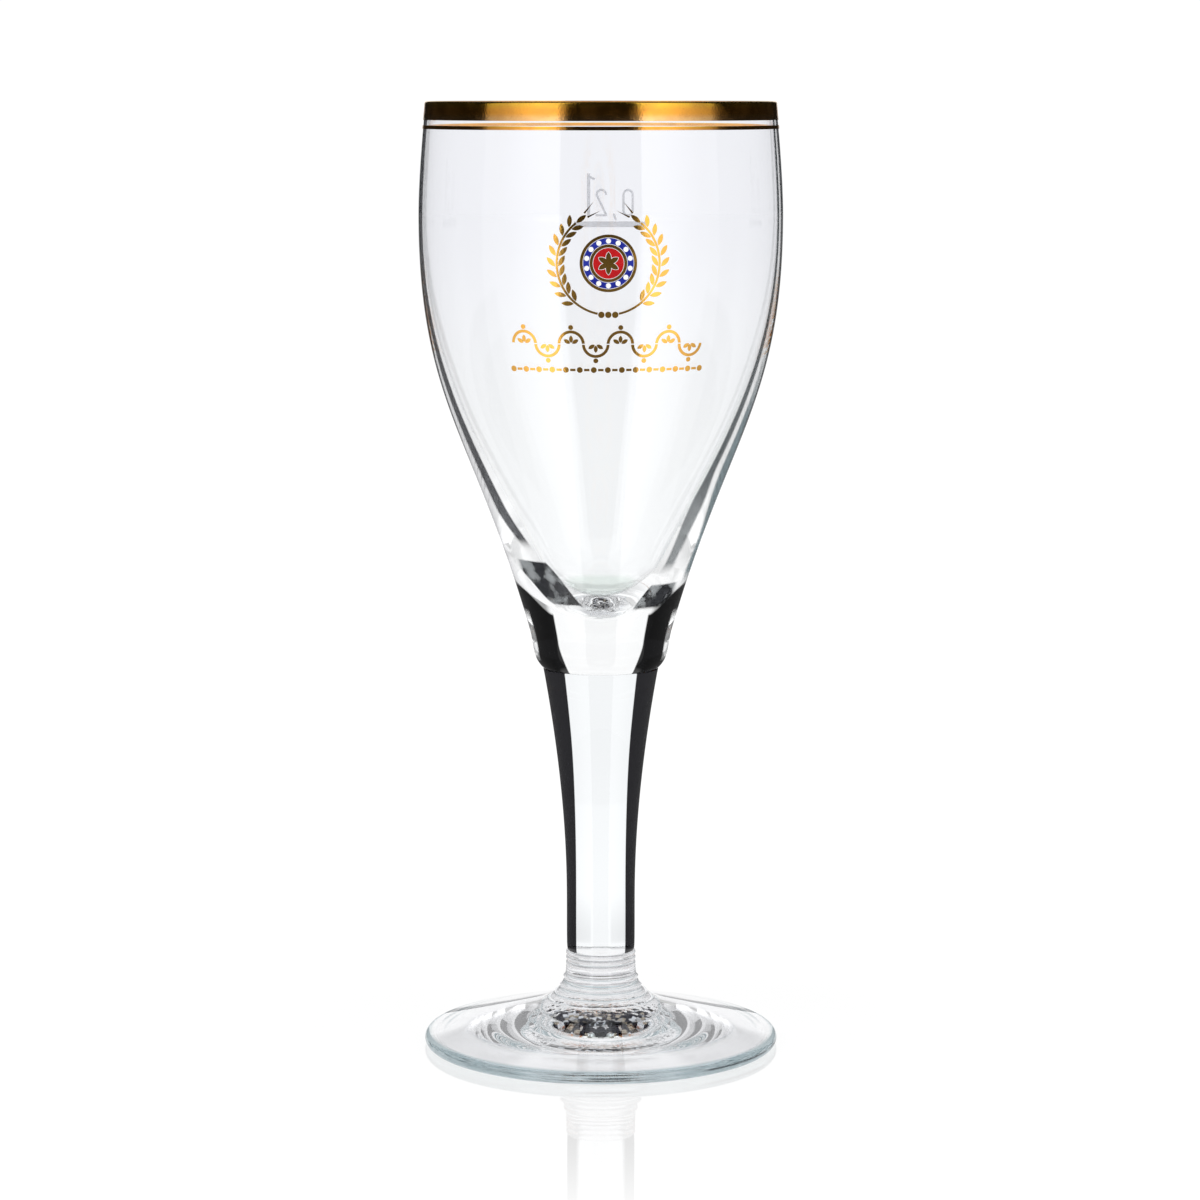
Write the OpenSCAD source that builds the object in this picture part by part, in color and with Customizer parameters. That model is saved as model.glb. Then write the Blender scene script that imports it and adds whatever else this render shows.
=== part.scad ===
// Stemmed chalice glass for beer. A tapered bowl, a drawn stem and a hollow foot are fused end to end.
// Gold bands, gold ornaments and a small enamel medallion are fired on the bowl.
// A calibrated fill mark is fired on its back.
// The origin is the centre of the face that the foot rests on, and the ornaments face -Y.

/* [Foot] */
// Diameter of the foot
foot_d = 76.2; // [66:0.2:90]
// Height of the foot, up to the stem
foot_h = 20.5; // [19:0.5:26]
// Radius of the rounded edge
foot_edge_r = 1.4; // [1:0.1:2]
// Width of the flat ring that the foot rests on
rest_w = 1.6; // [1:0.1:3]
// Rise of the upper face, in degrees
foot_slope = 14.3; // [12:0.1:16]
// Diameter where the neck rises from the upper face
neck_base_d = 25.8; // [23:0.2:32]
// Diameter of the neck below its threads
neck_d = 15; // [14.6:0.1:17]
// Height of the threads, from the top of the foot down
thread_h = 3.5; // [2.4:0.1:4.5]
// Number of threads
thread_count = 3; // [2:1:5]
// Depth of the grooves between the threads
thread_depth = 0.35; // [0.2:0.05:0.6]
// Number of fine rings on the flare of the neck
neck_ring_count = 4; // [2:1:6]
// Radius of a fine ring's wire
neck_ring_r = 0.3; // [0.2:0.05:0.45]
// Diameter of the hollow's inner ring
punt_d = 23.5; // [20:0.5:30]
// Depth of the hollow at its inner ring
hollow_h = 3.2; // [2:0.1:4.2]
// Depth of the hollow in the middle
punt_h = 7.2; // [5:0.1:8.5]
// Diameter of the nipple in the middle of the hollow
nipple_d = 3.6; // [2:0.1:5]
// Height of the nipple
nipple_h = 0.9; // [0.4:0.1:1.5]

/* [Stem] */
// Height of the stem, between its two seams
stem_h = 61.6; // [45:0.2:90]
// Diameter of the stem at its waist
waist_d = 14.7; // [14:0.1:17]
// Height of the waist above the lower seam
waist_h = 9.5; // [6:0.5:16]
// Height of the rounding above the lower seam
stem_toe_h = 1.6; // [1:0.1:3]
// Diameter at the upper seam, where the stem meets the bowl
seam_d = 24.7; // [22:0.1:27]
// Flare of the stem at the upper seam, in degrees
stem_flare = 10.3; // [6:0.1:16]

/* [Bowl] */
// Height of the bowl, from the upper seam to the lip
bowl_h = 120.1; // [110:0.5:135]
// Diameter of the shoulder above the upper seam
shoulder_d = 30.5; // [28:0.1:34]
// Height of the shoulder above the upper seam
shoulder_h = 8.4; // [6:0.1:10]
// Slope of the side above the shoulder, in degrees
side_slope = 15.8; // [12:0.1:19]
// Largest diameter of the bowl
belly_d = 77; // [70:0.2:86]
// Height of the largest diameter above the upper seam
belly_h = 95.9; // [88:0.5:100]
// Diameter of the bowl at the lip
rim_d = 73.9; // [68:0.1:77]
// Lean of the side at the lip, in degrees
rim_lean = 5.4; // [2:0.1:8]
// Thickness of the wall at the belly
wall = 0.9; // [0.7:0.05:2]
// Thickness of the lip
lip_t = 0.8; // [0.6:0.05:1.6]
// Thickness of the glass under the cup, above the upper seam
base_t = 12.4; // [10:0.2:15]
// Diameter of the cup where its side begins
cup_heel_d = 28.1; // [24:0.1:31]
// Height of that place above the upper seam
cup_heel_h = 24; // [21:0.5:28]
// Slope of the cup's side there, in degrees
cup_slope = 28.1; // [24:0.1:31]

/* [Fired films] */
// Thickness of a fired film
film_t = 0.12; // [0.08:0.01:0.25]
// Gap between two neighbouring prints
print_gap = 0.1; // [0.05:0.01:0.2]
// Height of the wide gold band, from the lip down
gold_band_h = 3.8; // [2:0.1:8]
// Clear glass between the two gold bands
band_gap = 1.1; // [0.6:0.1:3]
// Height of the thin gold line
hairline_h = 0.75; // [0.4:0.05:1.5]
// Turn of the front print about the bowl, in degrees
print_turn = 2.3; // [-10:0.1:10]

/* [Medallion] */
// Diameter of the medallion
medallion_d = 11.6; // [9:0.2:14]
// Height of its centre, from the lip down
medallion_down = 32.2; // [28:0.2:38]
// Width of its gold rings
gold_ring_w = 0.6; // [0.4:0.05:0.8]
// Diameter of its red field
red_field_d = 6.2; // [4.4:0.1:7]
// Number of pearls on its blue ring
pearl_count = 14; // [8:1:18]
// Diameter of a pearl
pearl_d = 0.85; // [0.5:0.05:1]
// Length of a petal of the rosette
petal_l = 2.3; // [1.5:0.1:2.6]
// Width of a petal
petal_w = 1.05; // [0.6:0.05:1.2]
// Number of petals
petal_count = 6; // [5:1:7]

/* [Barley wreath] */
// Radius of the wreath around the medallion's centre
wreath_r = 10.4; // [9.5:0.1:13]
// Number of pairs of grains in an ear
grain_pairs = 9; // [5:1:10]
// Angle from one pair to the next, in degrees
grain_step = 11.5; // [11:0.5:13]
// Angle of the lowest pair from straight down, in degrees
grain_start = 38; // [30:1:45]
// Length of a grain
grain_l = 2.5; // [1.8:0.1:3]
// Width of a grain
grain_w = 0.95; // [0.7:0.05:1.1]
// Spread of a grain from the stalk, in degrees
grain_spread = 36; // [32:1:42]
// Width of the stalk
stalk_w = 0.45; // [0.3:0.05:0.7]
// Spread of an awn from the tip of the ear, in degrees
awn_spread = 12; // [8:1:20]
// Length of an awn
awn_l = 3; // [2:0.1:4]
// Width of an awn at its foot
awn_w = 0.36; // [0.2:0.02:0.5]
// Diameter of the berries at the foot of the wreath
tie_berry_d = 1.3; // [0.8:0.1:1.6]

/* [Scroll garland] */
// Height of the garland's middle, from the lip down
garland_down = 48.6; // [46:0.2:54]
// Radius of one turn of the scroll
scroll_r = 2.5; // [1.8:0.1:3]
// Width of the scroll's line
scroll_w = 0.6; // [0.4:0.05:0.9]
// Number of turns
scroll_count = 8; // [4:1:12]
// Length of a leaf under a turn
leaf_l = 1.5; // [1:0.1:1.7]
// Width of a leaf
leaf_w = 0.8; // [0.5:0.05:0.9]
// Spread of the outer leaves, in degrees
leaf_spread = 58; // [45:1:70]
// Diameter of the berry over a turn
berry_d = 1; // [0.6:0.1:1.4]

/* [Bead row] */
// Height of the beads' middle, from the lip down
beads_down = 53.9; // [53:0.2:60]
// Number of beads
bead_count = 15; // [5:1:21]
// Distance from one bead to the next
bead_pitch = 2.85; // [2.5:0.05:4]
// Diameter of a bead
bead_d = 1.2; // [0.6:0.1:1.6]
// Length of a dash between two beads
dash_l = 1.1; // [0.6:0.05:1.2]
// Width of a dash
dash_w = 0.5; // [0.3:0.05:0.8]

/* [Fill mark] */
// Height of the fill line, from the lip down
fill_down = 27; // [22:0.5:34]
// Length of the fill line
fill_line_l = 16.4; // [8:0.2:24]
// Height of the fill line
fill_line_h = 1.4; // [0.4:0.1:2]
// Turn of the mark about the bowl, in degrees from straight behind
fill_turn = -3.4; // [-10:0.1:10]
// Height of the numerals
numeral_h = 5.8; // [4:0.1:7]
// Width of a numeral
numeral_w = 2.6; // [2:0.1:3.2]
// Width of a numeral's stroke
stroke_w = 0.5; // [0.3:0.05:0.7]
// Space between two characters
numeral_gap = 1.2; // [0.8:0.1:1.6]
// Height of the letter for litres
letter_h = 9; // [7:0.1:11]

/* [Hidden] */
$fn = 96;

// Colours
glass_colour = [0.86, 0.92, 0.93, 0.45];
gold_colour = [0.85, 0.62, 0.2];
red_colour = [0.8, 0.05, 0.05];
blue_colour = [0.08, 0.1, 0.55];
white_colour = [0.96, 0.96, 0.94];
etch_colour = [0.82, 0.83, 0.85];

// Steps along each stretch of the outlines
shoulder_steps = 6;
side_steps = 22;
rim_steps = 9;
lip_steps = 6;
cup_floor_steps = 10;
cup_steps = 26;
foot_steps = 8;
sector_steps = 4;

// Heights of the seams above the table
stem_z = foot_h;
bowl_z = stem_z + stem_h;
lip_z = bowl_z + bowl_h;

// Radii
foot_r = foot_d / 2;
neck_base_r = neck_base_d / 2;
neck_r = neck_d / 2;
punt_r = punt_d / 2;
nipple_r = nipple_d / 2;
waist_r = waist_d / 2;
seam_r = seam_d / 2;
shoulder_r = shoulder_d / 2;
belly_r = belly_d / 2;
rim_r = rim_d / 2;
lip_r = lip_t / 2;
cup_heel_r = cup_heel_d / 2;

// Reach of the cuts that pick a print out of the film, past the widest bowl
overrun = 2;
reach = max(belly_r, rim_r, shoulder_r) + overrun;

// Handles of the outline's curves, as shares of the stretch that they shape
shoulder_handle_shares = [0.42, 0.48];
side_handle_shares = [0.495, 0.449];
rim_handle_shares = [0.264, 0.388];
cup_floor_handle_shares = [0.3, 0.75];
cup_side_handle_shares = [0.455, 0.381];
cup_rim_handle_shares = [0.2, 0.38];
stem_handle_shares = [0.159, 0.53];
flare_handle_shares = [0.35, 0.45];
hollow_handle_shares = [0.35, 0.4];
punt_handle_shares = [0.3, 0.55];
toe_share = 0.35;
neck_ring_sink_share = 0.5;

// Extra rise of the neck where it leaves the upper face, and lean of the shoulder at the seam, in degrees
flare_rise = 14;
shoulder_flare = 45;

// A point of a cubic curve from a to d with handles b and c
function curve_point(a, b, c, d, t) =
    pow(1 - t, 3) * a + 3 * pow(1 - t, 2) * t * b + 3 * (1 - t) * t * t * c + t * t * t * d;
function curve(a, b, c, d, steps) = [for (i = [0 : steps]) curve_point(a, b, c, d, i / steps)];

// A step of the given length, leaning out from upright by the given angle
function lean(length, angle) = length * [sin(angle), cos(angle)];

// A list without its first entry, and one turned end for end
function tail(points) = [for (i = [1 : len(points) - 1]) points[i]];
function turned(points) = [for (i = [len(points) - 1 : -1 : 0]) points[i]];

// Points of an arc, in degrees from straight out
function arc_points(centre, radius, from, to, steps) =
    [for (i = [0 : steps])
        let (angle = from + (to - from) * i / steps)
            centre + radius * [cos(angle), sin(angle)]];

// Outside of the bowl, from the seam to the lip, with heights above the seam
lip_centre = [rim_r - lip_r, bowl_h - lip_r];
shoulder_at = [shoulder_r, shoulder_h];
belly_at = [belly_r, belly_h];
rim_at = [rim_r, bowl_h - lip_r];
side_h = belly_h - shoulder_h;
top_h = bowl_h - belly_h;
shoulder_curve = curve([seam_r, 0],
                       [seam_r, 0] + lean(shoulder_handle_shares[0] * shoulder_h, shoulder_flare),
                       shoulder_at - lean(shoulder_handle_shares[1] * shoulder_h, 0),
                       shoulder_at, shoulder_steps);
side_curve = curve(shoulder_at,
                   shoulder_at + lean(side_handle_shares[0] * side_h, side_slope),
                   belly_at - lean(side_handle_shares[1] * side_h, 0),
                   belly_at, side_steps);
rim_curve = curve(belly_at,
                  belly_at + lean(rim_handle_shares[0] * top_h, 0),
                  rim_at - lean(rim_handle_shares[1] * top_h, -rim_lean),
                  rim_at, rim_steps);
print_side = concat(side_curve, tail(rim_curve));

// Inside of the cup, from its floor to the lip
cup_floor_at = [0, base_t];
cup_heel_at = [cup_heel_r, cup_heel_h];
cup_belly_at = [belly_r - wall, belly_h];
cup_rim_at = [rim_r - lip_t, bowl_h - lip_r];
cup_floor_h = cup_heel_h - base_t;
cup_side_h = belly_h - cup_heel_h;
cup_floor_curve = curve(cup_floor_at,
                        cup_floor_at + [cup_floor_handle_shares[0] * cup_heel_r, 0],
                        cup_heel_at - lean(cup_floor_handle_shares[1] * cup_floor_h, cup_slope),
                        cup_heel_at, cup_floor_steps);
cup_side_curve = curve(cup_heel_at,
                       cup_heel_at + lean(cup_side_handle_shares[0] * cup_side_h, cup_slope),
                       cup_belly_at - lean(cup_side_handle_shares[1] * cup_side_h, 0),
                       cup_belly_at, cup_steps);
cup_rim_curve = curve(cup_belly_at,
                      cup_belly_at + lean(cup_rim_handle_shares[0] * top_h, 0),
                      cup_rim_at - lean(cup_rim_handle_shares[1] * top_h, -rim_lean),
                      cup_rim_at, rim_steps);

// Outside of the stem, with heights above the lower seam
stem_toe_r = neck_r - thread_depth;
stem_top_at = [seam_r, stem_h];
waist_at = [waist_r, waist_h];
drawn_h = stem_h - waist_h;
stem_toe_curve = curve([stem_toe_r, 0],
                       [waist_r, toe_share * stem_toe_h],
                       [waist_r, stem_toe_h],
                       waist_at, foot_steps);
stem_curve = curve(waist_at,
                   waist_at + lean(stem_handle_shares[0] * drawn_h, 0),
                   stem_top_at - lean(stem_handle_shares[1] * drawn_h, stem_flare),
                   stem_top_at, side_steps);

// Outside of the foot
foot_edge_at = [foot_r - foot_edge_r, foot_edge_r];
upper_face_at = foot_edge_at + lean(foot_edge_r, foot_slope);
neck_base_at = [neck_base_r, upper_face_at.y + (upper_face_at.x - neck_base_r) * tan(foot_slope)];
neck_top_at = [neck_r, foot_h - thread_h];
flare_reach = norm(neck_top_at - neck_base_at);
foot_edge_points = arc_points(foot_edge_at, foot_edge_r, -90, 90 - foot_slope, foot_steps);
flare_start_handle = neck_base_at + lean(flare_handle_shares[0] * flare_reach, foot_slope + flare_rise - 90);
flare_end_handle = neck_top_at - lean(flare_handle_shares[1] * flare_reach, 0);
function flare_point(t) = curve_point(neck_base_at, flare_start_handle, flare_end_handle, neck_top_at, t);
flare_curve = [for (i = [0 : foot_steps]) flare_point(i / foot_steps)];

// Underside of the foot
rest_inner_r = foot_edge_at.x - rest_w;
punt_ring_at = [punt_r, hollow_h];
punt_top_at = [nipple_r, punt_h];
hollow_curve = curve([rest_inner_r, 0],
                     [rest_inner_r - hollow_handle_shares[0] * (rest_inner_r - punt_r), hollow_h],
                     [punt_r + hollow_handle_shares[1] * (rest_inner_r - punt_r), hollow_h],
                     punt_ring_at, foot_steps);
punt_curve = curve(punt_ring_at, punt_ring_at + [0, punt_handle_shares[0] * (punt_h - hollow_h)],
                   punt_top_at + [punt_handle_shares[1] * (punt_r - nipple_r), 0], punt_top_at, foot_steps);

// Radius of the bowl's outside at a height above the table
function bowl_radius(z) = lookup(z - bowl_z, [for (p = print_side) [p.y, p.x]]);

// Film that lies on the outside of the bowl, from the shoulder over the crown of the lip
module film() {
    lip_points = arc_points(lip_centre, lip_r, 0, 90, lip_steps);
    film_points = arc_points(lip_centre, lip_r + film_t, 0, 90, lip_steps);
    raised_side = [for (p = print_side) p + [film_t, 0]];
    translate([0, 0, bowl_z])
        rotate_extrude()
            polygon(concat(print_side, tail(lip_points), turned(concat(raised_side, tail(film_points)))));
}

// The part of the film between two heights above the table
module film_ring(low, high) {
    intersection() {
        film();
        translate([0, 0, low]) cylinder(h = high - low, r = reach);
    }
}

// Carries a flat shape through the film. Across is measured along the bowl, at the height z.
module through_film(turn, across, z) {
    rotate([0, 0, turn + across / bowl_radius(z) * 180 / PI])
        translate([0, overrun - bowl_radius(z), z])
            rotate([90, 0, 0])
                linear_extrude(height = 2 * overrun)
                    children();
}

// A pointed leaf or grain that stands on the origin
module leaf(length, width) {
    leaf_r = (length * length + width * width) / (4 * width);
    translate([0, length / 2])
        intersection() {
            translate([leaf_r - width / 2, 0]) circle(r = leaf_r);
            translate([width / 2 - leaf_r, 0]) circle(r = leaf_r);
        }
}

// A thin spike that stands on the origin
module awn(length, width) {
    polygon([[-width / 2, 0], [width / 2, 0], [0, length]]);
}

// A ring of the given middle radius and width
module band(radius, width) {
    difference() {
        circle(r = radius + width / 2);
        circle(r = radius - width / 2);
    }
}

// The upper half of such a ring
module half_band(radius, width) {
    intersection() {
        band(radius, width);
        translate([-radius - width, 0]) square([2 * (radius + width), radius + width]);
    }
}

// Foot

module neck_threads() {
    thread_r = thread_h / thread_count / 2;
    for (i = [0 : thread_count - 1])
        translate([neck_r - thread_r, foot_h - thread_h + (2 * i + 1) * thread_r]) circle(r = thread_r);
}

module neck_rings() {
    for (i = [1 : neck_ring_count])
        translate(flare_point(i / (neck_ring_count + 1)) - [neck_ring_sink_share * neck_ring_r, 0])
            circle(r = neck_ring_r);
}

module foot() {
    color(glass_colour)
        rotate_extrude()
            union() {
                polygon(concat([[0, foot_h], [0, punt_h + nipple_h]], turned(punt_curve),
                               tail(turned(hollow_curve)), foot_edge_points, flare_curve,
                               [[stem_toe_r, neck_top_at.y], [stem_toe_r, foot_h]]));
                neck_threads();
                neck_rings();
            }
}

// Stem

module stem() {
    color(glass_colour)
        translate([0, 0, stem_z])
            rotate_extrude()
                polygon(concat([[0, 0]], stem_toe_curve, tail(stem_curve), [[0, stem_h]]));
}

// Bowl

module bowl() {
    lip_points = arc_points(lip_centre, lip_r, 0, 180, 2 * lip_steps);
    color(glass_colour)
        translate([0, 0, bowl_z])
            rotate_extrude()
                polygon(concat([[0, 0]], shoulder_curve, tail(side_curve), tail(rim_curve), tail(lip_points),
                               tail(turned(cup_rim_curve)), tail(turned(cup_side_curve)),
                               tail(turned(cup_floor_curve))));
}

// Gold bands at the lip

gold_band_z = lip_z - gold_band_h;
hairline_top = gold_band_z - band_gap;

module rim_gold_band() {
    color(gold_colour) film_ring(gold_band_z, lip_z + overrun);
}

module hairline_gold_band() {
    color(gold_colour) film_ring(hairline_top - hairline_h, hairline_top);
}

// Medallion

medallion_z = lip_z - medallion_down;
medallion_r = medallion_d / 2;
red_field_r = red_field_d / 2;
inner_ring_r = red_field_r + print_gap + gold_ring_w / 2;
outer_ring_r = medallion_r - gold_ring_w / 2;
blue_inner_r = inner_ring_r + gold_ring_w / 2 + print_gap;
blue_outer_r = outer_ring_r - gold_ring_w / 2 - print_gap;
pearl_ring_r = (blue_inner_r + blue_outer_r) / 2;

module rosette(spare) {
    for (i = [0 : petal_count - 1])
        rotate(i * 360 / petal_count)
            translate([0, -spare]) leaf(petal_l + 2 * spare, petal_w + 2 * spare);
    circle(r = petal_w / 2 + spare);
}

module pearls(spare) {
    for (i = [0 : pearl_count - 1])
        rotate(i * 360 / pearl_count)
            translate([0, pearl_ring_r]) circle(d = pearl_d + 2 * spare);
}

module medallion_print() {
    intersection() {
        film();
        through_film(print_turn, 0, medallion_z) children();
    }
}

module medallion_gold() {
    color(gold_colour)
        medallion_print() {
            union() {
                band(outer_ring_r, gold_ring_w);
                band(inner_ring_r, gold_ring_w);
                rosette(0);
            }
        }
}

module medallion_blue() {
    color(blue_colour)
        medallion_print()
            difference() {
                circle(r = blue_outer_r);
                circle(r = blue_inner_r);
                pearls(print_gap);
            }
}

module medallion_red() {
    color(red_colour)
        medallion_print()
            difference() {
                circle(r = red_field_r);
                rosette(print_gap);
            }
}

module medallion_pearls() {
    color(white_colour)
        medallion_print() pearls(0);
}

// Barley wreath around the medallion. Its two ears are mirrored about the middle.

ear_end = grain_start + grain_pairs * grain_step;
grain_foot = (stalk_w / 2 + print_gap) / sin(grain_spread);

// Carries a shape to the wreath's line, at an angle from straight down, and points it along the ear
module on_wreath(angle) {
    rotate(angle) translate([0, -wreath_r]) rotate(-90) children();
}

module ear() {
    for (i = [0 : grain_pairs - 1])
        for (spread = [-grain_spread, grain_spread])
            on_wreath(grain_start + i * grain_step)
                rotate(spread) translate([0, grain_foot]) leaf(grain_l, grain_w);
    on_wreath(ear_end) leaf(grain_l, grain_w);
    for (spread = [-awn_spread, awn_spread])
        on_wreath(ear_end) rotate(spread) translate([0, grain_l]) awn(awn_l, awn_w);
}

module stalk() {
    from = (1.5 * tie_berry_d + 2 * print_gap) / wreath_r * 180 / PI;
    to = ear_end - print_gap / wreath_r * 180 / PI;
    intersection() {
        band(wreath_r, stalk_w);
        polygon(concat([[0, 0]], arc_points([0, 0], 2 * wreath_r, from - 90, to - 90, sector_steps)));
    }
}

module tie_berries() {
    for (i = [-1 : 1])
        translate([i * (tie_berry_d + print_gap), -wreath_r]) circle(d = tie_berry_d);
}

module barley_wreath() {
    color(gold_colour)
        medallion_print() {
            union() {
                ear();
                stalk();
                mirror([1, 0]) ear();
                mirror([1, 0]) stalk();
                tie_berries();
            }
        }
}

// Scroll garland under the wreath. Its turns lie above and below its middle by turns.

leaf_foot = (leaf_w / 2 + print_gap) / 2;

module scroll_turn(i) {
    pitch = 2 * scroll_r;
    half_turn = i % 2 == 0 ? 0 : 180;
    through_film(print_turn, (i - (scroll_count - 1) / 2) * pitch, lip_z - garland_down)
        rotate(half_turn) {
            intersection() {
                band(scroll_r, scroll_w);
                translate([-2 * scroll_r, print_gap]) square([4 * scroll_r, 2 * scroll_r]);
            }
            for (spread = [-leaf_spread, 0, leaf_spread])
                rotate(spread) translate([0, leaf_foot]) leaf(leaf_l, leaf_w);
            translate([0, scroll_r + (scroll_w + berry_d) / 2 + print_gap]) circle(d = berry_d);
        }
}

module scroll_garland() {
    color(gold_colour)
        intersection() {
            film();
            union() {
                for (i = [0 : scroll_count - 1]) scroll_turn(i);
            }
        }
}

// Bead row under the garland

module bead(i) {
    through_film(print_turn, (i - (bead_count - 1) / 2) * bead_pitch, lip_z - beads_down)
        circle(d = bead_d);
}

module dash(i) {
    through_film(print_turn, (i + 0.5 - (bead_count - 1) / 2) * bead_pitch, lip_z - beads_down)
        square([dash_l, dash_w], center = true);
}

module bead_row() {
    color(gold_colour)
        intersection() {
            film();
            union() {
                for (i = [0 : bead_count - 1]) bead(i);
                for (i = [0 : bead_count - 2]) dash(i);
            }
        }
}

// Fill mark on the back, read from behind

fill_z = lip_z - fill_down;
numeral_z = fill_z + fill_line_h / 2 + numeral_gap;
comma_w = stroke_w * 2;
mark_w = 2 * numeral_w + comma_w + stroke_w + 3 * numeral_gap;

module zero_shape(inset) {
    round_r = numeral_w / 2 - inset;
    translate([numeral_w / 2, inset]) {
        translate([0, round_r]) circle(r = round_r);
        translate([0, numeral_h - 2 * inset - round_r]) circle(r = round_r);
        translate([-round_r, round_r]) square([2 * round_r, numeral_h - 2 * inset - 2 * round_r]);
    }
}

module zero() {
    difference() {
        zero_shape(0);
        zero_shape(stroke_w);
    }
}

module two() {
    round_r = (numeral_w - stroke_w) / 2;
    bend = [numeral_w / 2, numeral_h - numeral_w / 2];
    square([numeral_w, stroke_w]);
    translate(bend) half_band(round_r, stroke_w);
    polygon([[0, stroke_w], [stroke_w * 1.2, stroke_w], [numeral_w, bend.y], [numeral_w - stroke_w, bend.y]]);
}

module comma() {
    rotate(-20) translate([comma_w / 2, -comma_w]) leaf(comma_w * 2, stroke_w * 1.2);
}

module litre_letter() {
    square([stroke_w * 1.4, letter_h]);
    translate([0, letter_h - stroke_w]) rotate(205) square([stroke_w * 2.4, stroke_w]);
}

module fill_numerals() {
    left = -mark_w / 2;
    second = left + numeral_w + numeral_gap;
    third = second + comma_w + numeral_gap;
    last = third + numeral_w + numeral_gap;
    color(etch_colour)
        intersection() {
            film();
            through_film(180 + fill_turn, 0, numeral_z) {
                translate([left, 0]) zero();
                translate([second, 0]) comma();
                translate([third, 0]) two();
                translate([last, 0]) litre_letter();
            }
        }
}

module fill_line() {
    color(etch_colour)
        intersection() {
            film();
            through_film(180 + fill_turn, 0, fill_z)
                square([fill_line_l, fill_line_h], center = true);
        }
}

bowl();
stem();
foot();
rim_gold_band();
hairline_gold_band();
medallion_gold();
medallion_blue();
medallion_red();
medallion_pearls();
barley_wreath();
scroll_garland();
bead_row();
fill_line();
fill_numerals();
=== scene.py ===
"""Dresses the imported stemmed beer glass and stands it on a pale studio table.

The glass is turned from fine outlines that follow the solids of the frame. The fired gold, the enamel and the
fill mark are copies of the frame's films, bedded a little into the glass so that no air lies under them.
"""

from __future__ import annotations

import logging  # noqa: E402
import math  # noqa: E402
from dataclasses import dataclass  # noqa: E402
from enum import Enum  # noqa: E402
from functools import cached_property  # noqa: E402

import bpy  # noqa: E402
import numpy as np  # noqa: E402
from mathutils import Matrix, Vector  # noqa: E402


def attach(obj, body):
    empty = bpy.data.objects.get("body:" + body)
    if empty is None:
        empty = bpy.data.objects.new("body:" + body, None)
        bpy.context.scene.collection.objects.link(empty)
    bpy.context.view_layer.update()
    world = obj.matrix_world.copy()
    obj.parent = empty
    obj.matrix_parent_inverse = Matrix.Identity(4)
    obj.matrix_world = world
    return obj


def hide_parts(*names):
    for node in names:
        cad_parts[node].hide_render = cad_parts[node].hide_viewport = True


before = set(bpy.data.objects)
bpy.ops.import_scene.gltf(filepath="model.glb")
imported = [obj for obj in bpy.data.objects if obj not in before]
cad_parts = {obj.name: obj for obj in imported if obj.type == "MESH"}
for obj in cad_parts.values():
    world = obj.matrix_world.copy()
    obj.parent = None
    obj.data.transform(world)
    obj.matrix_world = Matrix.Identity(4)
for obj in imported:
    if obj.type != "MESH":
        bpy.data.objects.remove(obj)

LOG = logging.getLogger("glass")
MM = 0.001
BODY = "root"
WELD = 1e-6
TURN_STEPS = 288
SMOOTH_ANGLE = math.radians(40)
BOUNCES = 120
WHITE = (1, 1, 1, 1)
BAND_H = 3.8 * MM
BAND_GAP = 1.1 * MM
HAIRLINE_H = 0.75 * MM

Colour = tuple[float, float, float, float]
Handles = tuple[float, float]
Socket = bpy.types.NodeSocket
Node = bpy.types.Node


class Slot(Enum):
    """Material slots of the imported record."""

    GLASS = "clear_glass"
    GOLD = "fired_gold"
    BLUE = "blue_enamel"
    RED = "red_enamel"
    WHITE = "white_enamel"
    MARK = "etched_mark"


# Outlines


def lean(length: float, degrees: float) -> Vector:
    """A step of the given length that leans out from upright, as (across, up)."""
    angle = math.radians(degrees)
    return Vector((length * math.sin(angle), length * math.cos(angle)))


def curve(start: Vector, leave: Vector, end: Vector, arrive: Vector, steps: int) -> list[Vector]:
    """Samples a cubic curve.

    Args:
        start: Where it starts.
        leave: Step from the start to its handle.
        end: Where it ends.
        arrive: Step from the handle at the end to the end.
        steps: Number of steps along it.

    Returns:
        The points from start to end.
    """
    points = []
    for i in range(steps + 1):
        t = i / steps
        s = 1 - t
        handles = (start + leave) * (3 * s * s * t) + (end - arrive) * (3 * s * t * t)
        points.append(start * s**3 + handles + end * t**3)
    return points


def sweep(
    start: Vector, end: Vector, shares: Handles, length: float, leans: Handles, steps: int
) -> list[Vector]:
    """Samples a cubic curve whose handles are shares of a length.

    Args:
        start: Where it starts.
        end: Where it ends.
        shares: Lengths of both handles, as shares of the length.
        length: What they are shares of.
        leans: How far both handles lean out from upright, in degrees.
        steps: Number of steps along it.

    Returns:
        The points from start to end.
    """
    leave, arrive = (lean(share * length, degrees) for share, degrees in zip(shares, leans))
    return curve(start, leave, end, arrive, steps)


def arc(centre: Vector, radius: float, start: float, end: float, steps: int) -> list[Vector]:
    """Samples an arc.

    Args:
        centre: Centre of the arc.
        radius: Its radius.
        start: First angle in degrees, from straight out.
        end: Last angle in degrees.
        steps: Number of steps along it.

    Returns:
        The points from the first angle to the last.
    """
    points = []
    for i in range(steps + 1):
        angle = math.radians(start + (end - start) * i / steps)
        points.append(centre + Vector((math.cos(angle), math.sin(angle))) * radius)
    return points


def raised(points: list[Vector], rise: float) -> list[Vector]:
    """The same points, higher up."""
    return [point + Vector((0, rise)) for point in points]


def offset(points: list[Vector], distance: float) -> list[Vector]:
    """Shifts an outline sideways.

    Args:
        points: Points of the outline, going upwards.
        distance: Shift towards the right of its direction.

    Returns:
        The shifted points.
    """
    shifted = []
    last = len(points) - 1
    for i, point in enumerate(points):
        along = points[min(i + 1, last)] - points[max(i - 1, 0)]
        along.normalize()
        shifted.append(point + Vector((along.y, -along.x)) * distance)
    return shifted


# Mesh work


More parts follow.
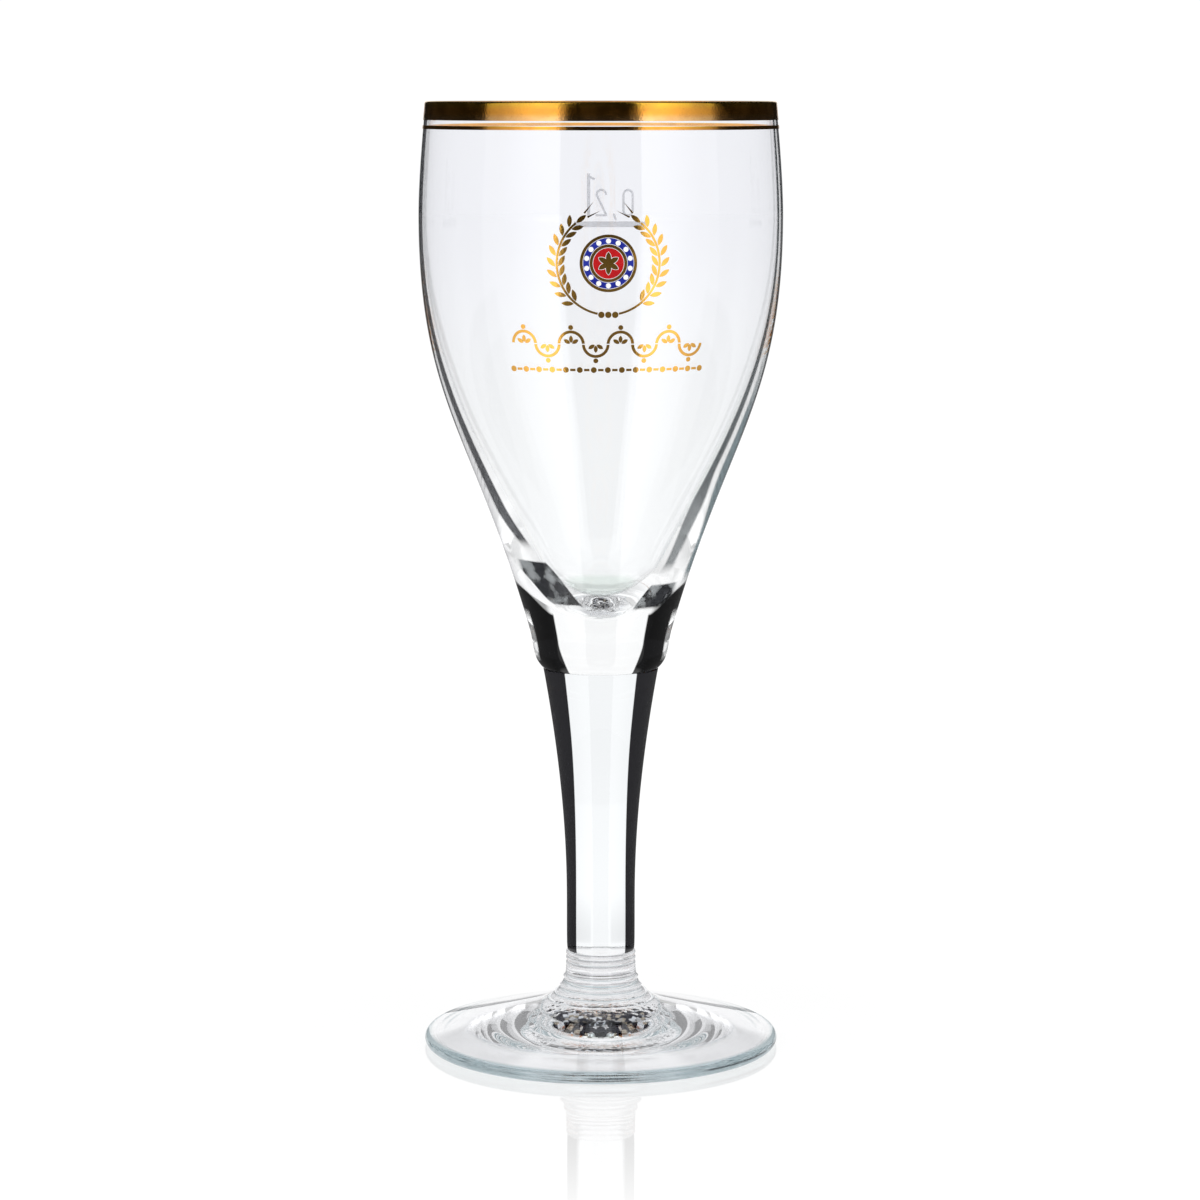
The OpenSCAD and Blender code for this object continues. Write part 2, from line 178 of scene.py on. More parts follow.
def only(obj: bpy.types.Object) -> None:
    """Makes obj the one selected and active object.

    Args:
        obj: The object.
    """
    bpy.ops.object.select_all(action="DESELECT")
    obj.select_set(True)
    bpy.context.view_layer.objects.active = obj


def turned(name: str, outline: list[Vector]) -> bpy.types.Object:
    """Draws an outline beside the axis and spins it about the axis.

    Args:
        name: Name of the new piece.
        outline: Points (radius, height) in metres, from the axis round to the axis.

    Returns:
        The closed piece, smooth but for its sharp corners.
    """
    bpy.ops.object.select_all(action="DESELECT")
    bpy.ops.mesh.primitive_plane_add(size=MM)
    obj = bpy.context.object
    obj.name = name
    obj.data.name = name
    bpy.ops.object.mode_set(mode="EDIT")
    bpy.ops.mesh.select_all(action="SELECT")
    bpy.ops.mesh.merge(type="CENTER")
    bpy.ops.transform.translate(value=(outline[0].x, 0, outline[0].y))
    for here, there in zip(outline, outline[1:]):
        step = there - here
        bpy.ops.mesh.extrude_region_move(TRANSFORM_OT_translate={"value": (step.x, 0, step.y)})
    bpy.ops.mesh.select_all(action="SELECT")
    bpy.ops.mesh.spin(steps=TURN_STEPS, angle=math.tau, center=(0, 0, 0), axis=(0, 0, 1))
    bpy.ops.mesh.select_all(action="SELECT")
    bpy.ops.mesh.remove_doubles(threshold=WELD)
    bpy.ops.mesh.normals_make_consistent(inside=False)
    bpy.ops.object.mode_set(mode="OBJECT")
    only(obj)
    bpy.ops.object.shade_smooth_by_angle(angle=SMOOTH_ANGLE)
    return obj


def seam_faces(obj: bpy.types.Object, heights: list[float]) -> None:
    """Gives the faces that lie flat at the given heights the second material.

    Args:
        obj: A piece of the glass, with its second material in place.
        heights: Heights of the seams.
    """
    level = 0.999
    near = 0.02 * MM
    for face in obj.data.polygons:
        if abs(face.normal.z) > level and any(abs(face.center.z - height) < near for height in heights):
            face.material_index = 1


# Node work


@dataclass(frozen=True)
class Ramp:
    """A value that eases from start to end while the value that it reads goes from low to high."""

    low: float
    high: float
    start: float = 0.0
    end: float = 1.0


@dataclass
class Graph:
    """A node tree under construction."""

    tree: bpy.types.NodeTree

    def feed(self, node: Node, inputs: dict | tuple) -> None:
        """Links sockets to a node's inputs, or sets plain values there.

        Args:
            node: The node that takes them.
            inputs: Sockets and values, in order or by the input's name or number.
        """
        for key, value in inputs.items() if isinstance(inputs, dict) else enumerate(inputs):
            if isinstance(value, bpy.types.NodeSocket):
                self.tree.links.new(value, node.inputs[key])
            else:
                node.inputs[key].default_value = value

    def add(self, kind: str, inputs: dict | tuple = (), **settings: object) -> Node:
        """Adds a node.

        Args:
            kind: Blender's name of the node, without ShaderNode in front.
            inputs: Sockets and values, in order or by the input's name or number.
            **settings: Properties of the node, such as operation.

        Returns:
            The node.
        """
        node = self.tree.nodes.new("ShaderNode" + kind)
        for key, value in settings.items():
            setattr(node, key, value)
        self.feed(node, inputs)
        return node

    def math(self, operation: str, *values: object) -> Socket:
        """The result of a Math node."""
        return self.add("Math", values, operation=operation).outputs[0]

    def vector(self, operation: str, *values: object) -> bpy.types.bpy_prop_collection:
        """The outputs of a Vector Math node."""
        return self.add("VectorMath", values, operation=operation).outputs

    def times(self, first: Socket, *others: object) -> Socket:
        """The product of all that is given.

        Args:
            first: What is multiplied.
            *others: What it is multiplied by.

        Returns:
            The product.
        """
        for other in others:
            first = self.math("MULTIPLY", first, other)
        return first

    def inverse(self, value: Socket) -> Socket:
        """One less the value."""
        return self.math("SUBTRACT", 1.0, value)

    def ramp(self, value: Socket, ramp: Ramp) -> Socket:
        """Reads a value through a ramp."""
        inputs = (value, ramp.low, ramp.high, ramp.start, ramp.end)
        return self.add("MapRange", inputs, interpolation_type="SMOOTHSTEP").outputs[0]

    def past(self, value: Socket, limit: Socket, ramp: Ramp) -> Socket:
        """Reads through a ramp how far a value lies past a limit."""
        return self.ramp(self.math("SUBTRACT", value, limit), ramp)

    def sided(self, right: Socket, left_value: Socket, right_value: Socket) -> Socket:
        """Picks the left-hand value where right is 0, and the right-hand one where it is 1."""
        return self.math("MULTIPLY_ADD", right, self.math("SUBTRACT", right_value, left_value), left_value)

    def mix(self, factor: object, first: object, second: object) -> Socket:
        """Mixes two colours, with the factor as the share of the second."""
        return self.add("Mix", {0: factor, 6: first, 7: second}, data_type="RGBA").outputs[2]

    def noise(self, vector: Socket, scale: object, detail: float) -> Socket:
        """The plain value of a Noise Texture."""
        inputs = {"Vector": vector, "Scale": scale, "Detail": detail}
        return self.add("TexNoise", inputs).outputs["Fac"]


def blank_material(name: str) -> tuple[bpy.types.Material, Graph, Node]:
    """A new material with nothing but a Principled shader and its output.

    Args:
        name: Name of the material.

    Returns:
        The material, its graph and the shader.
    """
    material = bpy.data.materials.new(name)
    material.use_nodes = True
    graph = Graph(material.node_tree)
    graph.tree.nodes.clear()
    shader = graph.add("BsdfPrincipled")
    graph.add("OutputMaterial", {"Surface": shader.outputs[0]})
    return material, graph, shader


def group(name: str, settings: dict[str, float], results: tuple[str, ...]) -> Graph:
    """Starts a node group that reads a vector and some settings.

    Args:
        name: Name of the group.
        settings: Names of its settings, with the values that they have unless told otherwise.
        results: Names of what it puts out.

    Returns:
        The graph of the group, still empty.
    """
    tree = bpy.data.node_groups.new(name, "ShaderNodeTree")
    tree.interface.new_socket("Vector", in_out="INPUT", socket_type="NodeSocketVector")
    for label, value in settings.items():
        socket = tree.interface.new_socket(label, in_out="INPUT", socket_type="NodeSocketFloat")
        socket.default_value = value
    for label in results:
        tree.interface.new_socket(label, in_out="OUTPUT", socket_type="NodeSocketFloat")
    return Graph(tree)


def hand_ripple() -> bpy.types.NodeTree:
    """The slow swell of hand-worked glass, with fine drawn lines, as a height.

    Returns:
        The node group, built once.
    """
    name = "hand_ripple"
    if name in bpy.data.node_groups:
        return bpy.data.node_groups[name]
    graph = group(name, {"Swell Scale": 70.0, "Line Scale": 900.0, "Line Share": 0.03}, ("Height",))
    given = graph.tree.nodes.new("NodeGroupInput").outputs
    swell = graph.noise(given["Vector"], given["Swell Scale"], detail=1.5)
    drawn_out = (1.0, 1.0, 0.12)
    squeezed = graph.vector("MULTIPLY", given["Vector"], drawn_out)[0]
    lines = graph.noise(squeezed, given["Line Scale"], detail=1.0)
    height = graph.math("MULTIPLY_ADD", lines, given["Line Share"], swell)
    graph.feed(graph.tree.nodes.new("NodeGroupOutput"), {"Height": height})
    return graph.tree


def print_grain() -> bpy.types.NodeTree:
    """The mottle, the screen grain and the pinholes of a fired print.

    Returns:
        The node group, built once.
    """
    name = "print_grain"
    if name in bpy.data.node_groups:
        return bpy.data.node_groups[name]
    settings = {"Mottle Scale": 300.0, "Grain Scale": 2500.0, "Pinholes": 0.2}
    graph = group(name, settings, ("Mottle", "Grain", "Pinholes"))
    given = graph.tree.nodes.new("NodeGroupInput").outputs
    contrast = Ramp(0.3, 0.7)
    hole_share = 0.5
    mottle = graph.ramp(graph.noise(given["Vector"], given["Mottle Scale"], detail=3.0), contrast)
    grain = graph.ramp(graph.noise(given["Vector"], given["Grain Scale"], detail=2.0), contrast)
    scale = graph.math("MULTIPLY", given["Grain Scale"], hole_share)
    cells = graph.add("TexVoronoi", {"Vector": given["Vector"], "Scale": scale}, feature="F1")
    holes = graph.math("LESS_THAN", cells.outputs["Distance"], given["Pinholes"])
    results = {"Mottle": mottle, "Grain": grain, "Pinholes": holes}
    graph.feed(graph.tree.nodes.new("NodeGroupOutput"), results)
    return graph.tree


class Sight:
    """What the masks read at a point of the glass, each part built when it is first asked for."""

    def __init__(self, graph: Graph) -> None:
        """Starts from the place of the point and the kind of ray.

        Args:
            graph: The material's tree.
        """
        self.graph = graph
        self.place = graph.add("TexCoord").outputs["Object"]
        self.x, self.y, self.z = graph.add("SeparateXYZ", (self.place,)).outputs
        self.path = graph.add("LightPath").outputs

    def along(self, direction: Socket) -> Socket:
        """How far the line of sight runs along a direction of length one, from 0 to 1."""
        weight = self.graph.add("LayerWeight", {"Blend": 0.5, "Normal": direction})
        return self.graph.inverse(weight.outputs["Facing"])

    @cached_property
    def front(self) -> Socket:
        """1 where the outside of the glass is the first that the eye meets, and 0 elsewhere."""
        hidden = (self.graph.add("NewGeometry").outputs["Backfacing"], self.path["Is Transmission Ray"])
        return self.graph.times(*(self.graph.inverse(value) for value in hidden))

    @cached_property
    def turn(self) -> Socket:
        """Tangent of the angle about the axis between the point and the viewer.

        Returns:
            The tangent, from 0 in the middle.
        """
        graph = self.graph
        across = graph.add("CombineXYZ", (graph.math("MULTIPLY", self.y, -1.0), self.x)).outputs[0]
        outward = graph.add("CombineXYZ", (self.x, self.y)).outputs[0]
        aside, ahead = (self.along(graph.vector("NORMALIZE", way)[0]) for way in (across, outward))
        least = 0.001
        return graph.math("DIVIDE", aside, graph.math("MAXIMUM", ahead, least))

    @cached_property
    def secant(self) -> Socket:
        """One over the cosine of that angle."""
        return self.graph.math("SQRT", self.graph.math("MULTIPLY_ADD", self.turn, self.turn, 1.0))

    @cached_property
    def share(self) -> Socket:
        """How far out the point is seen, from 0 at the middle to 1 at the outline."""
        return self.graph.math("DIVIDE", self.turn, self.secant)

    @cached_property
    def reach(self) -> Socket:
        """Distance of the point from the axis."""
        flat = self.graph.vector("MULTIPLY", self.place, (1.0, 1.0, 0.0))[0]
        return self.graph.vector("LENGTH", flat)["Value"]

    @cached_property
    def right(self) -> Socket:
        """1 on the right-hand side of the glass, and 0 on the left."""
        return self.graph.ramp(self.x, Ramp(-5 * MM, 5 * MM))


# Masks of the glass. They paint shade, dark refractions and highlights into its colour as seen from the
# front.
# Their ramps read heights above the table, and shares from 0 at the middle to 1 at the outline.


@dataclass(frozen=True)
class PaintedBaseShade:
    """Painted black shade on the sides of the bowl's solid base, with a painted gleam along its outer edge.
    """

    top: Ramp = Ramp(0.6, 1.0, 95.4 * MM, 101.0 * MM)
    top_edge: Ramp = Ramp(-0.5 * MM, 0.3 * MM, 1, 0)
    inner: Ramp = Ramp(83 * MM, 89 * MM, 0.535, 0.608)
    inner_edge: Ramp = Ramp(-0.01, 0.01)
    # The painted gleam is where the painted black shade is left out.
    gleam: Ramp = Ramp(0.915, 0.945)
    gleam_top: Ramp = Ramp(92 * MM, 95.5 * MM, 1, 0)
    gleam_foot: Ramp = Ramp(84 * MM, 85.5 * MM)

    def mask(self, sight: Sight) -> Socket:
        """Builds the mask.

        Args:
            sight: What the mask reads.

        Returns:
            The mask.
        """
        graph = sight.graph
        under = graph.past(sight.z, graph.ramp(sight.share, self.top), self.top_edge)
        outside = graph.past(sight.share, graph.ramp(sight.z, self.inner), self.inner_edge)
        gleam = graph.times(
            graph.ramp(sight.share, self.gleam),
            graph.ramp(sight.z, self.gleam_top),
            graph.ramp(sight.z, self.gleam_foot),
        )
        return graph.times(under, outside, graph.inverse(gleam))


@dataclass(frozen=True)
class PaintedHeelCrescents:
    """Painted dark crescents, the shade in which the solid base shows the heel of the cup, lower on the
    right.
    """

    drop: float = 5.0 * MM
    top: Ramp = Ramp(0.15, 0.72, 97.2 * MM, 108.5 * MM)
    highest: float = 106.8 * MM
    top_edge: Ramp = Ramp(-0.35 * MM, 0.15 * MM, 1, 0)
    foot: Ramp = Ramp(0.55, 1.0, 97.4 * MM, 106.0 * MM)
    foot_edge: Ramp = Ramp(-0.15 * MM, 0.35 * MM)
    outer: Ramp = Ramp(0.84, 0.9, 1, 0)
    lowest: Ramp = Ramp(96.2 * MM, 97.0 * MM)
    patch_scale: float = 260.0
    patches: Ramp = Ramp(0.45, 0.62)

    def mask(self, sight: Sight) -> Socket:
        """Builds the mask.

        Args:
            sight: What the mask reads.

        Returns:
            The mask.
        """
        graph = sight.graph
        level = graph.math("MULTIPLY_ADD", sight.right, self.drop, sight.z)
        top = graph.math("MINIMUM", graph.ramp(sight.share, self.top), self.highest)
        under = graph.past(level, top, self.top_edge)
        over = graph.past(level, graph.ramp(sight.share, self.foot), self.foot_edge)
        return graph.times(under, over, graph.ramp(sight.share, self.outer), graph.ramp(sight.z, self.lowest))

    def colour(self, sight: Sight, dark: Colour, pale: Colour) -> Socket:
        """Mixes the two colours in patches."""
        patches = sight.graph.noise(sight.place, self.patch_scale, detail=3.0)
        return sight.graph.mix(sight.graph.ramp(patches, self.patches), dark, pale)


@dataclass(frozen=True)
class PaintedWallLines:
    """Painted dark lines where the eye runs along the inside of the wall, and painted rim tone outside them.

    Their starts and stops are shares of the wall's thickness as it is seen, from 0 inside to 1 at the
    outline.
    """

    cup_low: float = 22 * MM
    cup_high: float = 2 * MM
    cup_steps: int = 12
    start_left: Ramp = Ramp(107 * MM, 119 * MM, -0.25, 0.0)
    start_right: Ramp = Ramp(106 * MM, 121 * MM, -0.06, -0.41)
    start_edge: Ramp = Ramp(-0.06, 0.06)
    stop_left: Ramp = Ramp(106 * MM, 118 * MM, 0.0, 0.54)
    stop_right: Ramp = Ramp(118 * MM, 127 * MM, 0.3, 0.045)
    stop_edge: Ramp = Ramp(-0.09, 0.09, 1, 0)
    drop: float = 5 * MM
    lowest: Ramp = Ramp(108.5 * MM, 111.5 * MM)
    rim_start: Ramp = Ramp(110 * MM, 128 * MM, 0.8, 0.38)
    rim_edge: Ramp = Ramp(-0.06, 0.06)
    rim_lowest: Ramp = Ramp(100 * MM, 104 * MM)
    rim_highest: Ramp = Ramp(135 * MM, 165 * MM, 1, 0)

    def cup_share(self, sight: Sight, bowl: Bowl) -> Socket:
        """Share of the outer radius that the cup's inside takes up, by height.

        Args:
            sight: What the mask reads.
            bowl: The bowl whose wall it is.

        Returns:
            The share.
        """
        graph = sight.graph
        low = bowl.base_z + self.cup_low
        high = bowl.base_z + bowl.height - self.cup_high
        level = graph.add("MapRange", (sight.z, low, high, 0.0, 1.0)).outputs[0]
        cup = graph.add("FloatCurve", {"Value": level})
        points = cup.mapping.curves[0].points
        for i in range(self.cup_steps + 1):
            step = i / self.cup_steps
            height = low + (high - low) * step
            ratio = bowl.cup_radius(height) / bowl.radius(height)
            if i in (0, self.cup_steps):
                points[0 if i == 0 else -1].location = (step, ratio)
            else:
                points.new(step, ratio)
        cup.mapping.update()
        return cup.outputs[0]

    def masks(self, sight: Sight, bowl: Bowl) -> tuple[Socket, Socket]:
        """Builds both masks.

        Args:
            sight: What the masks read.
            bowl: The bowl whose wall it is.

        Returns:
            The mask of the lines, and the mask of the rim.
        """
        graph = sight.graph
        z = sight.z
        cup = self.cup_share(sight, bowl)
        near = graph.math("DIVIDE", graph.math("SUBTRACT", sight.share, cup), graph.inverse(cup))
        start, stop = (
            graph.sided(sight.right, graph.ramp(z, left), graph.ramp(z, right))
            for left, right in ((self.start_left, self.start_right), (self.stop_left, self.stop_right))
        )
        lines = graph.times(
            graph.past(near, start, self.start_edge),
            graph.past(near, stop, self.stop_edge),
            graph.ramp(graph.math("MULTIPLY_ADD", sight.right, self.drop, z), self.lowest),
        )
        rim = graph.past(near, graph.ramp(z, self.rim_start), self.rim_edge)
        return lines, graph.times(rim, graph.ramp(z, self.rim_lowest), graph.ramp(z, self.rim_highest))


@dataclass(frozen=True)
class CupFloor:
    """The floor of the cup, which is a little green and uneven."""

    reach: Ramp = Ramp(7 * MM, 9.5 * MM, 1, 0)
    lowest: Ramp = Ramp(90 * MM, 93 * MM)
    highest: Ramp = Ramp(98 * MM, 100 * MM, 1, 0)
    bump_scale: float = 420.0
    bump_share: float = 9.0

    def mask(self, sight: Sight) -> Socket:
        """Builds the mask.

        Args:
            sight: What the mask reads.

        Returns:
            The mask.
        """
        graph = sight.graph
        level = graph.times(graph.ramp(sight.z, self.lowest), graph.ramp(sight.z, self.highest))
        return graph.times(graph.ramp(sight.reach, self.reach), level)


@dataclass(frozen=True)
class PaintedPuntReflections:
    """Painted shade and highlights in the facets that the punch left in the hollow under the foot.

    The glass bends the view past the near half of the hollow's dome, so that half is painted on the foot's
    face itself, in an ellipse that lies across the line of sight. It is meant for views from a little above.
    """

    # Painted shade, highlight and warm reflection of the facets.
    dark: Colour = (0.002, 0.002, 0.003, 1)
    bright: Colour = (0.6, 0.65, 0.72, 1)
    warm: Colour = (0.16, 0.13, 0.09, 1)
    bright_cells: Ramp = Ramp(0.55, 0.75)
    warm_cells: Ramp = Ramp(0.4, 0.8)
    far_scale: float = 1050.0
    far_reach: Ramp = Ramp(12.3 * MM, 12.9 * MM, 1, 0)
    far_top: Ramp = Ramp(8.2 * MM, 8.6 * MM, 1, 0)
    nipple: Ramp = Ramp(1.2 * MM, 1.6 * MM, 1, 0)
    near_scale: float = 900.0
    near_slope: float = 0.2456
    near_wide: float = 11.36 * MM
    near_tall: float = 3.5 * MM
    near_level: float = 4.39 * MM
    near_edge: Ramp = Ramp(0.9, 1.04, 1, 0)
    near_top: Ramp = Ramp(4.1 * MM, 4.5 * MM, 1, 0)
    near_steep: Ramp = Ramp(0.3, 0.4, 1, 0)

    def facets(self, graph: Graph, place: Socket, scale: float) -> Socket:
        """Painted shade and highlights of the facets, in cells of the given scale.

        Args:
            graph: The material's tree.
            place: Place on the facets.
            scale: How many facets lie along a metre.

        Returns:
            The colour.
        """
        cells = graph.add("TexVoronoi", {"Vector": place, "Scale": scale}, feature="F1")
        parts = graph.add("SeparateColor", (cells.outputs["Color"],)).outputs
        warm = graph.mix(graph.ramp(parts[1], self.warm_cells), self.bright, self.warm)
        return graph.mix(graph.ramp(parts[0], self.bright_cells), self.dark, warm)

    def far_half(self, sight: Sight, tint: Socket) -> Socket:
        """Paints the facets' shade and highlights on the hollow itself.

        Args:
            sight: What the mask reads.
            tint: Colour of the glass without the painted facets.

        Returns:
            The colour with them.
        """
        graph = sight.graph
        inside = graph.times(graph.ramp(sight.reach, self.far_reach), graph.ramp(sight.z, self.far_top))
        facets = self.facets(graph, sight.place, self.far_scale)
        punt_reflections = graph.mix(graph.ramp(sight.reach, self.nipple), facets, self.dark)
        return graph.mix(inside, tint, punt_reflections)

    def near_half(self, sight: Sight, tint: Socket) -> Socket:
        """Paints the near half of the hollow's facets on the foot's face in front of the neck.

        Args:
            sight: What the mask reads.
            tint: Colour of the glass without the painted facets.

        Returns:
            The colour with them.
        """
        graph = sight.graph
        ahead = graph.math("DIVIDE", sight.reach, sight.secant)
        aside = graph.math("MULTIPLY", ahead, sight.turn)
        level = graph.math("MULTIPLY_ADD", ahead, -self.near_slope, sight.z)
        wide = graph.math("DIVIDE", aside, self.near_wide)
        tall = graph.math("DIVIDE", graph.math("SUBTRACT", level, self.near_level), self.near_tall)
        ring = graph.math("MULTIPLY_ADD", tall, tall, graph.times(wide, wide))
        upright = graph.add("CombineXYZ", (0.0, 0.0, 1.0)).outputs[0]
        inside = graph.times(
            graph.ramp(ring, self.near_edge),
            graph.ramp(level, self.near_top),
            graph.ramp(sight.along(upright), self.near_steep),
            sight.front,
        )
        spot = graph.add("CombineXYZ", (aside, level)).outputs[0]
        return graph.mix(inside, tint, self.facets(graph, spot, self.near_scale))


# Finishes


@dataclass(frozen=True)
class ClearGlass:
    """Soda-lime glass with the slow swell of hand work."""

    name: str
    tint: Colour = (0.963, 0.968, 0.99, 1)
    swell: float = 0.02 * MM
    ior: float = 1.52
    mottle_scale: float = 40.0
    mottle_level: float = 0.985
    shadow: float = 0.2

    def colour(self, sight: Sight, tint: Socket) -> Socket:
        """The colour of the glass, which is the plain tint here."""
        return tint

    def height(self, sight: Sight, ripple: Socket) -> Socket:
        """The height of the surface, which is the ripple alone here."""
        return ripple

    def make(self) -> bpy.types.Material:
        """Builds the material.

        Returns:
            The material.
        """
        material, graph, shader = blank_material(self.name)
        sight = Sight(graph)
        mottled = tuple(self.mottle_level * value for value in self.tint[:3]) + (1,)
        tint = graph.mix(graph.noise(sight.place, self.mottle_scale, detail=2.0), self.tint, mottled)
        ripple = graph.add("Group", node_tree=hand_ripple())
        graph.feed(ripple, {"Vector": sight.place})
        height = self.height(sight, ripple.outputs["Height"])
        bump = graph.add("Bump", {"Strength": 1.0, "Distance": self.swell, "Height": height})
        graph.feed(
            shader,
            {
                "Base Color": self.colour(sight, tint),
                "Normal": bump.outputs["Normal"],
                "Roughness": 0.0,
                "IOR": self.ior,
                "Transmission Weight": 1.0,
                "Alpha": graph.math("MULTIPLY_ADD", sight.path["Is Shadow Ray"], self.shadow - 1, 1.0),
            },
        )
        return material


@dataclass(frozen=True)
class FootGlass(ClearGlass):
    """The glass of the foot, with painted cool shade at its edge and a broken painted dark line there."""

    tint: Colour = (0.94, 0.945, 0.965, 1)
    # Painted cool shade at the edge of the foot.
    edge: Colour = (0.36, 0.47, 0.51, 1)
    edge_reach: Ramp = Ramp(36.2 * MM, 37.4 * MM)
    # Painted dark line along the edge, broken by gaps.
    line: Colour = (0.015, 0.02, 0.024, 1)
    line_z: float = 1.45 * MM
    line_edge: Ramp = Ramp(0.1 * MM, 0.32 * MM, 1, 0)
    gap_scale: float = 45.0
    gaps: Ramp = Ramp(0.42, 0.56)
    punt_reflections: PaintedPuntReflections = PaintedPuntReflections()

    def colour(self, sight: Sight, tint: Socket) -> Socket:
        """Paints the shade at the edge and the facets in the hollow.

        Args:
            sight: What the mask reads.
            tint: Colour of the glass without them.

        Returns:
            The colour with them.
        """
        graph = sight.graph
        rim = graph.ramp(sight.reach, self.edge_reach)
        tint = graph.mix(rim, tint, self.edge)
        away = graph.math("ABSOLUTE", graph.math("SUBTRACT", sight.z, self.line_z))
        gaps = graph.ramp(graph.noise(sight.place, self.gap_scale, detail=2.0), self.gaps)
        line = graph.times(graph.ramp(away, self.line_edge), rim, gaps, sight.front)
        tint = graph.mix(line, tint, self.line)
        return self.punt_reflections.near_half(sight, self.punt_reflections.far_half(sight, tint))


@dataclass(frozen=True)
class StemGlass(ClearGlass):
    """The glass of the stem, with painted dark shade towards its sides."""

    tint: Colour = (0.963, 0.985, 1.0, 1)
    swell: float = 0.002 * MM
    # Painted dark shade of the sides, where the stem turns away from the eye.
    dark: Colour = (0.0004, 0.00038, 0.0005, 1)
    dark_turn: Ramp = Ramp(30 * MM, 70 * MM, 1.04, 0.8)
    dark_edge: Ramp = Ramp(-0.015, 0.015)

    def colour(self, sight: Sight, tint: Socket) -> Socket:
        """Paints dark shade on the sides.

        Args:
            sight: What the mask reads.
            tint: Colour of the glass between them.

        Returns:
            The colour with them.
        """
        graph = sight.graph
        side = graph.past(sight.turn, graph.ramp(sight.z, self.dark_turn), self.dark_edge)
        return graph.mix(graph.times(side, sight.front), tint, self.dark)


@dataclass(frozen=True)
class BowlGlass(ClearGlass):
    """The glass of the bowl, with painted shade and tones for what its wall and its solid base show."""

    bowl: Bowl | None = None
    low_tint: Colour = (0.985, 0.994, 1.0, 1)
    low_tint_to: Ramp = Ramp(125 * MM, 180 * MM)
    # Painted black shade for the sides of the solid base.
    black: Colour = (0.00004, 0.00004, 0.00005, 1)
    # Painted shade of the wall lines, left and right, paler low down.
    wall_shade_left: Colour = (0.012, 0.0125, 0.014, 1)
    wall_shade_right: Colour = (0.02, 0.024, 0.026, 1)
    line_low: Colour = (0.09, 0.1, 0.105, 1)
    wall_shade_low_to: Ramp = Ramp(110 * MM, 126 * MM)
    # Painted tones of the rim outside the wall lines: pale on the left, dark teal on the right.
    painted_rim_left: Colour = (0.97, 0.97, 1.0, 1)
    painted_rim_right: Colour = (0.06, 0.095, 0.11, 1)
    # Painted dark shade along the outline of the bowl.
    outline: Colour = (0.012, 0.013, 0.015, 1)
    outline_share: Ramp = Ramp(0.98, 0.988)
    outline_lowest: Ramp = Ramp(118 * MM, 135 * MM)
    # Painted shade of the crescents, lighter and darker in patches.
    heel: Colour = (0.09, 0.1, 0.105, 1)
    heel_shade_dark: Colour = (0.001, 0.0011, 0.0014, 1)
    floor_tint: Colour = (0.72, 0.83, 0.76, 1)
    walls: PaintedWallLines = PaintedWallLines()
    crescents: PaintedHeelCrescents = PaintedHeelCrescents()
    floor: CupFloor = CupFloor()
    sides: PaintedBaseShade = PaintedBaseShade()

    def colour(self, sight: Sight, tint: Socket) -> Socket:
        """Lays the painted shade masks over each other, from the wall down to the base.

        Args:
            sight: What the mask reads.
            tint: Colour of the glass without them.

        Returns:
            The colour with them.
        """
        graph = sight.graph
        tint = graph.mix(graph.ramp(sight.z, self.low_tint_to), self.low_tint, tint)
        lines, rim = self.walls.masks(sight, self.bowl)
        cool = graph.mix(sight.right, self.painted_rim_left, self.painted_rim_right)
        pale = graph.mix(graph.ramp(sight.z, self.wall_shade_low_to), self.line_low, self.wall_shade_right)
        tone = graph.mix(sight.right, self.wall_shade_left, pale)
        outline = graph.times(
            graph.ramp(sight.share, self.outline_share), graph.ramp(sight.z, self.outline_lowest)
        )
        heel = self.crescents.colour(sight, self.heel_shade_dark, self.heel)
        # Paints the rim tone, the wall lines and the dark outline, seen from the front.
        for mask, shade in ((rim, cool), (lines, tone), (outline, self.outline)):
            tint = graph.mix(graph.times(mask, sight.front), tint, shade)
        tint = graph.mix(graph.times(self.crescents.mask(sight), sight.front), tint, heel)
        tint = graph.mix(self.floor.mask(sight), tint, self.floor_tint)
        return graph.mix(graph.times(self.sides.mask(sight), sight.front), tint, self.black)

    def height(self, sight: Sight, ripple: Socket) -> Socket:
        """Adds the bumps of the cup's floor.

        Args:
            sight: What the mask reads.
            ripple: Height of the glass without them.

        Returns:
            The height with them.
        """
        graph = sight.graph
        bumps = graph.noise(sight.place, self.floor.bump_scale, detail=1.0)
        share = graph.times(self.floor.mask(sight), self.floor.bump_share)
        return graph.math("MULTIPLY_ADD", share, bumps, ripple)


@dataclass(frozen=True)
class FusedSeam:
    """The melted joint between two gathers, where no surface is left."""

    name: str = "fused_seam"

    def make(self) -> bpy.types.Material:
        """Builds the material.

        Returns:
            The material.
        """
        material, graph, shader = blank_material(self.name)
        graph.feed(shader, {"Base Color": WHITE, "Alpha": 0.0})
        return material


